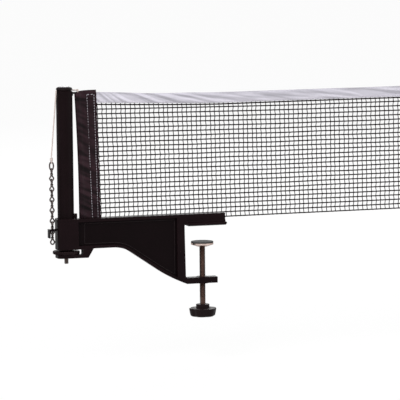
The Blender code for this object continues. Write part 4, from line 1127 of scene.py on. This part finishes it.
@dataclass
class Net(Assembly):
    """Sleeves, tape and mesh."""

    y: float = NET_Y
    top_z: float = 152.5 * MM
    rise: float = 4.9 * MM
    level_x: float = 24.7 * MM
    tape_height: float = 11.8 * MM
    tape_half: float = 0.945 * MM
    tape_crown: float = 0.9 * MM
    sleeve_width: float = 25.5 * MM
    foot_z: float = 7.6 * MM
    sleeve_top_z: float = SLEEVE_TOP_Z
    far_extra: float = 0.8 * MM
    foot_x: float = -145.4 * MM
    lean: float = 4.0 * MM
    end_x: float = 258.0 * MM
    gap: float = GAP
    rows: int = 25
    row_r: float = 0.76 * MM
    head_r: float = 0.8 * MM
    column_r: float = 0.52 * MM
    knot_r: float = 0.80 * MM
    column_pitch: float = 5.69 * MM
    rod_inset: float = 3.8 * MM
    rod_half: float = 1.9 * MM
    flat_half: float = 0.85 * MM
    sewn_half: float = 0.5 * MM
    ply: float = 0.31 * MM
    seam_insets: Tuple[float, float] = (2.9 * MM, 10.4 * MM)
    seam_start: float = 1.5 * MM
    stitch_lift: float = 0.12 * MM
    stitch_length: float = 2.1 * MM
    stitch_gap: float = 0.9 * MM
    stitch_r: float = 0.34 * MM
    tie_r: float = 0.75 * MM
    hand: random.Random = field(default_factory=lambda: random.Random(24), init=False)

    def tape_top(self, x: float) -> float:
        """Height of the tape's upper edge."""
        near = self.foot_x + self.sleeve_width
        share = max(0.0, (self.level_x - x) / (self.level_x - near))
        return self.top_z + self.rise * share ** 1.3

    def tape_edge(self, x: float) -> float:
        """The tape's upper edge as it hangs: a dip, and small waves."""
        dip = math.exp(-((x + 62 * MM) / (32 * MM)) ** 2)
        wave = noise.noise(Vector((x / (30 * MM), 0.3, 1.0)))
        return self.tape_top(x) + 0.65 * MM - 1.0 * MM * dip + 0.3 * MM * wave

    def climb(self, z: float) -> float:
        """Share of the end sleeve's height that is below z."""
        return (z - self.foot_z) / (self.sleeve_top_z - self.foot_z)

    def edge_x(self, z: float, side: int) -> float:
        """X of the end sleeve's edge at a height; side 0 is outer, 1 is inner."""
        return self.foot_x + side * self.sleeve_width - self.lean * self.climb(z)

    def high(self, side: SleeveSide) -> float:
        """Height of a sleeve's top edge."""
        return self.sleeve_top_z if side is SleeveSide.NEAR else self.top_z + self.far_extra

    @staticmethod
    def ripple(x: float, z: float, seed: float, across: float, along: float,
               slant: float = 0.0) -> float:
        """Slanting folds of cloth, from -1 to 1."""
        turned_x = x * math.cos(slant) + z * math.sin(slant)
        turned_z = z * math.cos(slant) - x * math.sin(slant)
        return noise.noise(Vector((turned_x / across, turned_z / along, seed)))

    def pocket(self, away: float) -> float:
        """Half the sleeve's thickness at a distance from its outer edge."""
        inset = self.rod_inset
        if away < inset:
            round_share = math.sqrt(max(0.0, 1 - ((inset - away) / inset) ** 2))
            return self.rod_half * round_share + 0.02 * MM
        fade = 0.5 - 0.5 * math.cos(math.pi * min(1.0, (away - inset) / (4.0 * MM)))
        half = self.rod_half + (self.flat_half - self.rod_half) * fade
        for seam, width in zip(self.seam_insets, (1.1 * MM, 1.3 * MM)):
            pinch = math.exp(-((away - self.sleeve_width + seam) / width) ** 2)
            half = half * (1 - pinch) + self.sewn_half * pinch
        return half

    def bulge(self, side: SleeveSide, face: int, away: float, z: float) -> float:
        """Half the sleeve's thickness at a place, with its folds and hem.

        Args:
            side: which sleeve.
            face: -1 for the front ply, 1 for the back ply.
            away: distance from the folded outer edge.
            z: height.
        Returns:
            Distance from the sleeve's middle plane.
        """
        seed = (3.0 if side is SleeveSide.NEAR else 9.0) + face
        below = self.high(side) - z
        past_seam = away - self.sleeve_width + self.seam_insets[1]
        fold = self.ripple(away, z, seed, 42 * MM, 10 * MM, -0.55)
        crease = self.ripple(away, z, seed + 4, 22 * MM, 4.2 * MM, -0.4)
        loose = min(1.0, away / (3 * MM)) * min(1.0, (z - self.foot_z) / (4 * MM) + 0.2)
        calm = min(1.0, abs(past_seam) / (3 * MM)) * (1.0 if past_seam < 0 else 0.45)
        push = (1.3 * MM * fold + 0.35 * MM * crease) * loose * (0.2 + 0.8 * calm)
        hem = clamp((below - 9.3 * MM) / (0.4 * MM), -30.0, 30.0)
        push += 0.3 * MM / (1 + math.exp(hem)) * loose
        sewn = math.sin(math.pi / 2 * clamp(below / (5 * MM)))
        return self.ply + (max(0.34 * MM, self.pocket(away) + push) - self.ply) * sewn

    def sleeve(self, name: str, side: SleeveSide) -> Thing:
        """A folded satin sleeve, open below, with its rod pocket on its outer edge."""
        across, tall = 34, 210
        points: List[Point] = []
        bulges: List[float] = []
        for row in range(tall + 1):
            share = row / tall
            z = self.foot_z + (self.high(side) - self.foot_z) * share
            bow = 1.1 * MM * math.sin(math.pi * clamp(self.climb(z)))
            for column in range(-across, across + 1):
                face, turn = -1 if column <= 0 else 1, abs(column) / across
                away = turn * self.sleeve_width
                out = self.bulge(side, face, away, z) * (1.0 if turn else 0.1)
                x, rise = self.end_x + self.gap + self.sleeve_width - away, 0.0
                if side is SleeveSide.NEAR:
                    x = self.edge_x(z, 0) + bow * (1 - turn) + away
                    rise = -1.0 * MM + 2.75 * MM * (1 - math.exp(-away / (5 * MM)))
                bulges.append(out)
                points.append((x, self.y + face * out, z + rise * share ** 8))
        count = 2 * across + 1
        return Maker.cloth(name, points, bulges, count, SATIN, 5.0, count)

    def tape(self) -> Thing:
        """The folded tape, gathered a little along its length."""
        along, tall, arch = 420, 12, 5
        half, crown = self.tape_half, self.tape_crown
        start = self.edge_x(self.top_z, 1) + 0.2 * MM
        levels = [(-1, k / tall) for k in range(tall + 1)]
        levels += [(0, k / arch) for k in range(1, arch)]
        levels += [(1, k / tall) for k in range(tall, -1, -1)]
        points: List[Point] = []
        bulges: List[float] = []
        for column in range(along + 1):
            span = (self.end_x - start) * column / along
            x = start + span
            top = self.tape_edge(x) - crown
            low = self.tape_top(x) - self.tape_height
            low += 0.15 * MM * noise.noise(Vector((x / (17 * MM), 0.7, 2.0)))
            for side, share in levels:
                if side == 0:
                    angle = math.pi * share
                    bulges.append(half)
                    points.append((x, self.y - half * math.cos(angle),
                                   top + crown * math.sin(angle)))
                    continue
                z = low + (top - low) * share
                level = z + 0.12 * span + 45 * MM * (1 - math.exp(-span / (50 * MM)))
                big = self.ripple(x, level, 20.0 + side, 60 * MM, 5.0 * MM)
                fine = self.ripple(x, level, 24.0 + side, 25 * MM, 2.2 * MM)
                held = math.sin(math.pi * clamp(0.08 + 0.84 * share))
                bulges.append(max(0.62 * MM, half + (1.4 * MM * big + 0.4 * MM * fine) * held))
                points.append((x, self.y + side * bulges[-1], z))
        return Maker.cloth("head_tape", points, bulges, len(levels), COTTON, 2.6, 1)

    def row_z(self, row: float, x: float) -> float:
        """Height of a mesh row at an X; row 0 is the stout one under the tape."""
        pull = max(0.0, (130 * MM - x) / (250 * MM)) ** 1.3
        if row <= 0:
            return (self.tape_top(x) - self.tape_height - 1.2 * MM
                    - 0.8 * MM * min(1.0, pull))
        first = 135.1 * MM + 3.1 * MM * pull
        last = 7.2 * MM + 1.0 * MM * (x + 84 * MM) / (307 * MM)
        wave = 0.5 * MM * noise.noise(Vector((x / (60 * MM), row * 0.35, 5.0)))
        inner = math.sin(math.pi * min(1.0, row / self.rows))
        return first + (last - first) * (row - 1) / (self.rows - 1) + wave * inner

    def twine(self, name: str, paths: Sequence[Line], radius: float, sides: int,
              *nodes: str) -> None:
        """Put one set of the net's threads."""
        self.put(Maker.tubes(name, paths, radius, NET_TWINE, sides), Body.POST, "net_thread",
                 *nodes)

    def row_line(self, row: int) -> Line:
        """The path of one level thread, from sleeve to sleeve."""
        start = self.edge_x(self.row_z(row, -120 * MM), 1) - 0.3 * MM
        line = []
        for step in range(151):
            x = start + (self.end_x + 1.0 * MM - start) * step / 150
            z = self.row_z(row, x) + 0.09 * MM * math.sin(x / (0.9 * MM) + row)
            line.append(Vector((x, self.y, z)))
        return line

    def mesh_threads(self) -> None:
        """Rows, columns and knots of the net."""
        rows = [self.row_line(row) for row in range(self.rows + 1)]
        self.twine("net_rows", rows[1:], self.row_r, 6, "net_mesh")
        self.twine("net_head_line", rows[:1], self.head_r, 8)
        count = round((self.end_x - self.edge_x(80 * MM, 1)) / self.column_pitch)
        columns: List[Line] = []
        knots: List[Line] = []
        for column in range(count + 1):
            line = []
            drift = self.hand.uniform(-0.35, 0.35) * MM
            for row in range(self.rows + 1):
                left = self.edge_x(self.row_z(row, 0.0), 1) + 0.8 * MM
                x = left + (self.end_x - 1.0 * MM - left) * column / count + drift
                x += 0.5 * MM * noise.noise(Vector((column * 0.31, row * 0.27, 7.0)))
                z = self.row_z(row, x)
                side = 0.32 * MM * (1 if row % 2 else -1)
                spots = [(side, 0.25 * MM, z)]
                if row == 0:
                    hem = self.tape_top(x) - self.tape_height + 1.5 * MM
                    spots.insert(0, (0.0, 0.25 * MM, hem))
                if row < self.rows:
                    below = self.row_z(row + 1, x) + 0.7 * MM
                    spots += [(side * 0.8, 0.1 * MM, z - 0.7 * MM), (-side * 0.8, 0.1 * MM, below)]
                line += [Vector((x + across, self.y + out, height))
                         for across, out, height in spots]
                knots.append([Vector((x + across * MM, self.y - out * MM, z + up * MM))
                              for across, out, up in ((-0.62, 0.12, 0.0), (0.0, 0.16, 0.06),
                                                      (0.62, 0.12, 0.0))])
            columns.append(line)
        self.twine("net_columns", columns, self.column_r, 5)
        self.twine("net_knots", knots, self.knot_r, 6)

    def seam_point(self, side: SleeveSide, face: int, inset: float, z: float) -> Vector:
        """A point on a sleeve's cloth at a distance from its inner edge."""
        x = self.end_x + self.gap + inset
        if side is SleeveSide.NEAR:
            x = self.edge_x(z, 1) - inset
        out = self.bulge(side, face, self.sleeve_width - inset, z) + self.stitch_lift
        return Vector((x, self.y + face * out, z))

    def seams(self) -> None:
        """Pale stitching on both faces of the end sleeve, the far sleeve and the tape."""
        top, low = 155.6 * MM, self.foot_z + self.seam_start
        start = self.edge_x(self.top_z, 1) + self.seam_start
        tape_span = self.end_x - self.seam_start - start
        near, far, tape = [], [], []
        for face in (-1, 1):
            for first, last, end_z in ((11.1, 9.8, low), (2.6, 3.2, low), (11.1, 2.6, top)):
                near.append([self.seam_point(
                    SleeveSide.NEAR, face, (first + (last - first) * step / 60) * MM,
                    top + (end_z - top) * step / 60) for step in range(61)])
            for inset in self.seam_insets:
                far.append([self.seam_point(SleeveSide.FAR, face, inset, low + 2.4 * MM * step)
                            for step in range(60)])
            places = [start + tape_span * step / 59 for step in range(60)]
            tape.append([Vector((x, self.y + face * 1.1 * MM,
                                 self.tape_top(x) - self.tape_height + 1.1 * MM))
                         for x in places])
        for name, lines, length, radius in (
                ("sleeve_seams", near, self.stitch_length, self.stitch_r),
                ("far_seams", far, self.stitch_length, self.stitch_r),
                ("tape_seam", tape, 2.2 * MM, 0.2 * MM)):
            self.put(Maker.stitches(name, lines, length, self.stitch_gap, radius), Body.POST,
                     "pale_tape")

    def far_loop(self) -> None:
        """Cord loop that leaves the far sleeve and goes back into it."""
        start = self.end_x + self.gap + self.sleeve_width
        centre_x, centre_z = start + self.gap + 8.75 * MM, self.top_z - self.tape_height / 2
        reach = math.radians(172)
        path = sweep(60, reach, -reach, lambda cos, sin, _: (
            centre_x + 8.0 * MM * cos, self.y, centre_z + 5.0 * MM * sin))
        ends = [Vector((start - 1.5 * MM, self.y, path[end].z)) for end in (0, -1)]
        path = ends[:1] + path + ends[1:]
        loop = Maker.tubes("far_tie", [path], self.tie_r, WHITE_CORD, 12)
        self.put(loop, Body.POST, "pale_cord", "far_loop")
        length_of(path)

    def build(self) -> None:
        """Make the cloth first, then the threads and seams."""
        for name, side, node, rod in (
                ("satin_sleeve", SleeveSide.NEAR, "end_sleeve", "stiffener_rod"),
                ("satin_sleeve_far", SleeveSide.FAR, "far_sleeve", "far_rod")):
            cloth = self.put(self.sleeve(name, side), Body.POST, "dark_satin", node)
            flat = (2 * self.sleeve_width + 2 * MM, self.high(side) - self.foot_z)
        tape = self.put(self.tape(), Body.POST, "pale_tape", "net_tape")
        length = self.end_x - self.edge_x(self.top_z, 1)
        self.mesh_threads()
        self.seams()
        self.far_loop()
        self.dress(stiffener_rod=GLASS_ROD, far_rod=GLASS_ROD)


# ---------------------------------------------------------------- stage
@dataclass
class Studio:
    """Camera, floor, world and lamps."""

    centre: Point = (-1.25636, -4.10258, 0.49482)
    right: Point = (0.95594627, -0.29337746, -0.00981841)
    up: Point = (0.04101905, 0.10038775, 0.99410248)
    ahead: Point = (0.29066161, 0.95071129, -0.10799936)
    lens: float = 334.2
    floor_z: float = -0.16
    floor_half: float = 40.0
    sky: float = 0.55
    middle: Point = (0.03, 0.0, 0.03)

    def camera(self) -> None:
        """The camera at the photograph's viewing angle."""
        data = bpy.data.cameras.new("camera")
        data.sensor_width = 36.0
        data.lens = self.lens
        data.clip_end = 200.0
        made = link("camera", data)
        right, up = Vector(self.right).normalized(), Vector(self.up).normalized()
        back = -Vector(self.ahead).normalized()
        rows = [(right[k], up[k], back[k], self.centre[k]) for k in range(3)]
        made.matrix_world = Matrix((*rows, (0, 0, 0, 1)))
        bpy.context.scene.camera = made

    @staticmethod
    def seen(bench: Bench) -> Socket:
        """1 for rays of the camera, of reflections and through glass."""
        path = bench.node("LightPath")
        camera, glossy = path.out("Is Camera Ray"), path.out("Is Glossy Ray")
        return camera.peak(glossy).peak(path.out("Is Transmission Ray"))

    def world(self) -> None:
        """White where it is seen, and a plain soft light elsewhere."""
        world = bpy.data.worlds.new("studio_world")
        world.use_nodes = True
        bpy.context.scene.world = world
        bench = Bench(world.node_tree)
        soft = bench.node("Background", {"Color": WHITE, "Strength": self.sky})
        white = bench.node("Background", {"Color": WHITE, "Strength": 1.0})
        mixed = bench.node("MixShader", {0: self.seen(bench), 1: soft, 2: white})
        bench.node("OutputWorld", {"Surface": mixed})

    def floor(self) -> None:
        """A plain white floor that keeps a soft shadow."""
        half, z = self.floor_half, self.floor_z
        material = bpy.data.materials.new("pale_floor")
        material.use_nodes = True
        bench = Bench(material.node_tree)
        colour = bench.blend(bench.noise(3.0, 2.0), (0.96, 0.96, 0.96), (0.99, 0.99, 0.99))
        matt = bench.node("BsdfDiffuse", {"Color": colour})
        white = bench.node("Emission", {"Color": WHITE, "Strength": 1.0})
        mixed = bench.node("MixShader", {0: self.seen(bench) * 0.93, 1: matt, 2: white})
        bench.node("OutputMaterial", {"Surface": mixed})
        data = bpy.data.meshes.new("floor")
        data.from_pydata([(-half, -half, z), (half, -half, z), (half, half, z), (-half, half, z)],
                         [], [(0, 1, 2, 3)])
        data.materials.append(material)
        link("floor", data)

    def lamp(self, name: str, at: Point, size: float, power: float) -> None:
        """A soft square lamp that points at the middle of the part."""
        data = bpy.data.lights.new(name, "AREA")
        data.shape = "SQUARE"
        data.size = size
        data.energy = power
        made = link(name, data)
        made.location = at
        made.rotation_mode = "QUATERNION"
        made.rotation_quaternion = (Vector(self.middle) - Vector(at)).to_track_quat("-Z", "Y")

    def build(self) -> None:
        """Set everything that isn't part of the object."""
        bpy.context.scene.view_settings.view_transform = "Standard"
        self.camera()
        self.world()
        self.floor()
        self.lamp("key_lamp", (-1.5, -1.5, 1.8), 1.2, 46.0)
        self.lamp("back_lamp", (1.0, 2.2, 1.3), 1.4, 26.0)
        self.lamp("fill_lamp", (1.6, -1.4, 0.7), 1.4, 10.0)


def main() -> None:
    """Build the camera, then each sub-assembly."""
    Studio().build()
    for group in (ChainAndCord(), Bracket(), ClampScrew(), Post(), Net()):
        group.build()
        LOG.info("%s: %s", type(group).__name__, ", ".join(group.made))


if __name__ == "__main__":
    main()
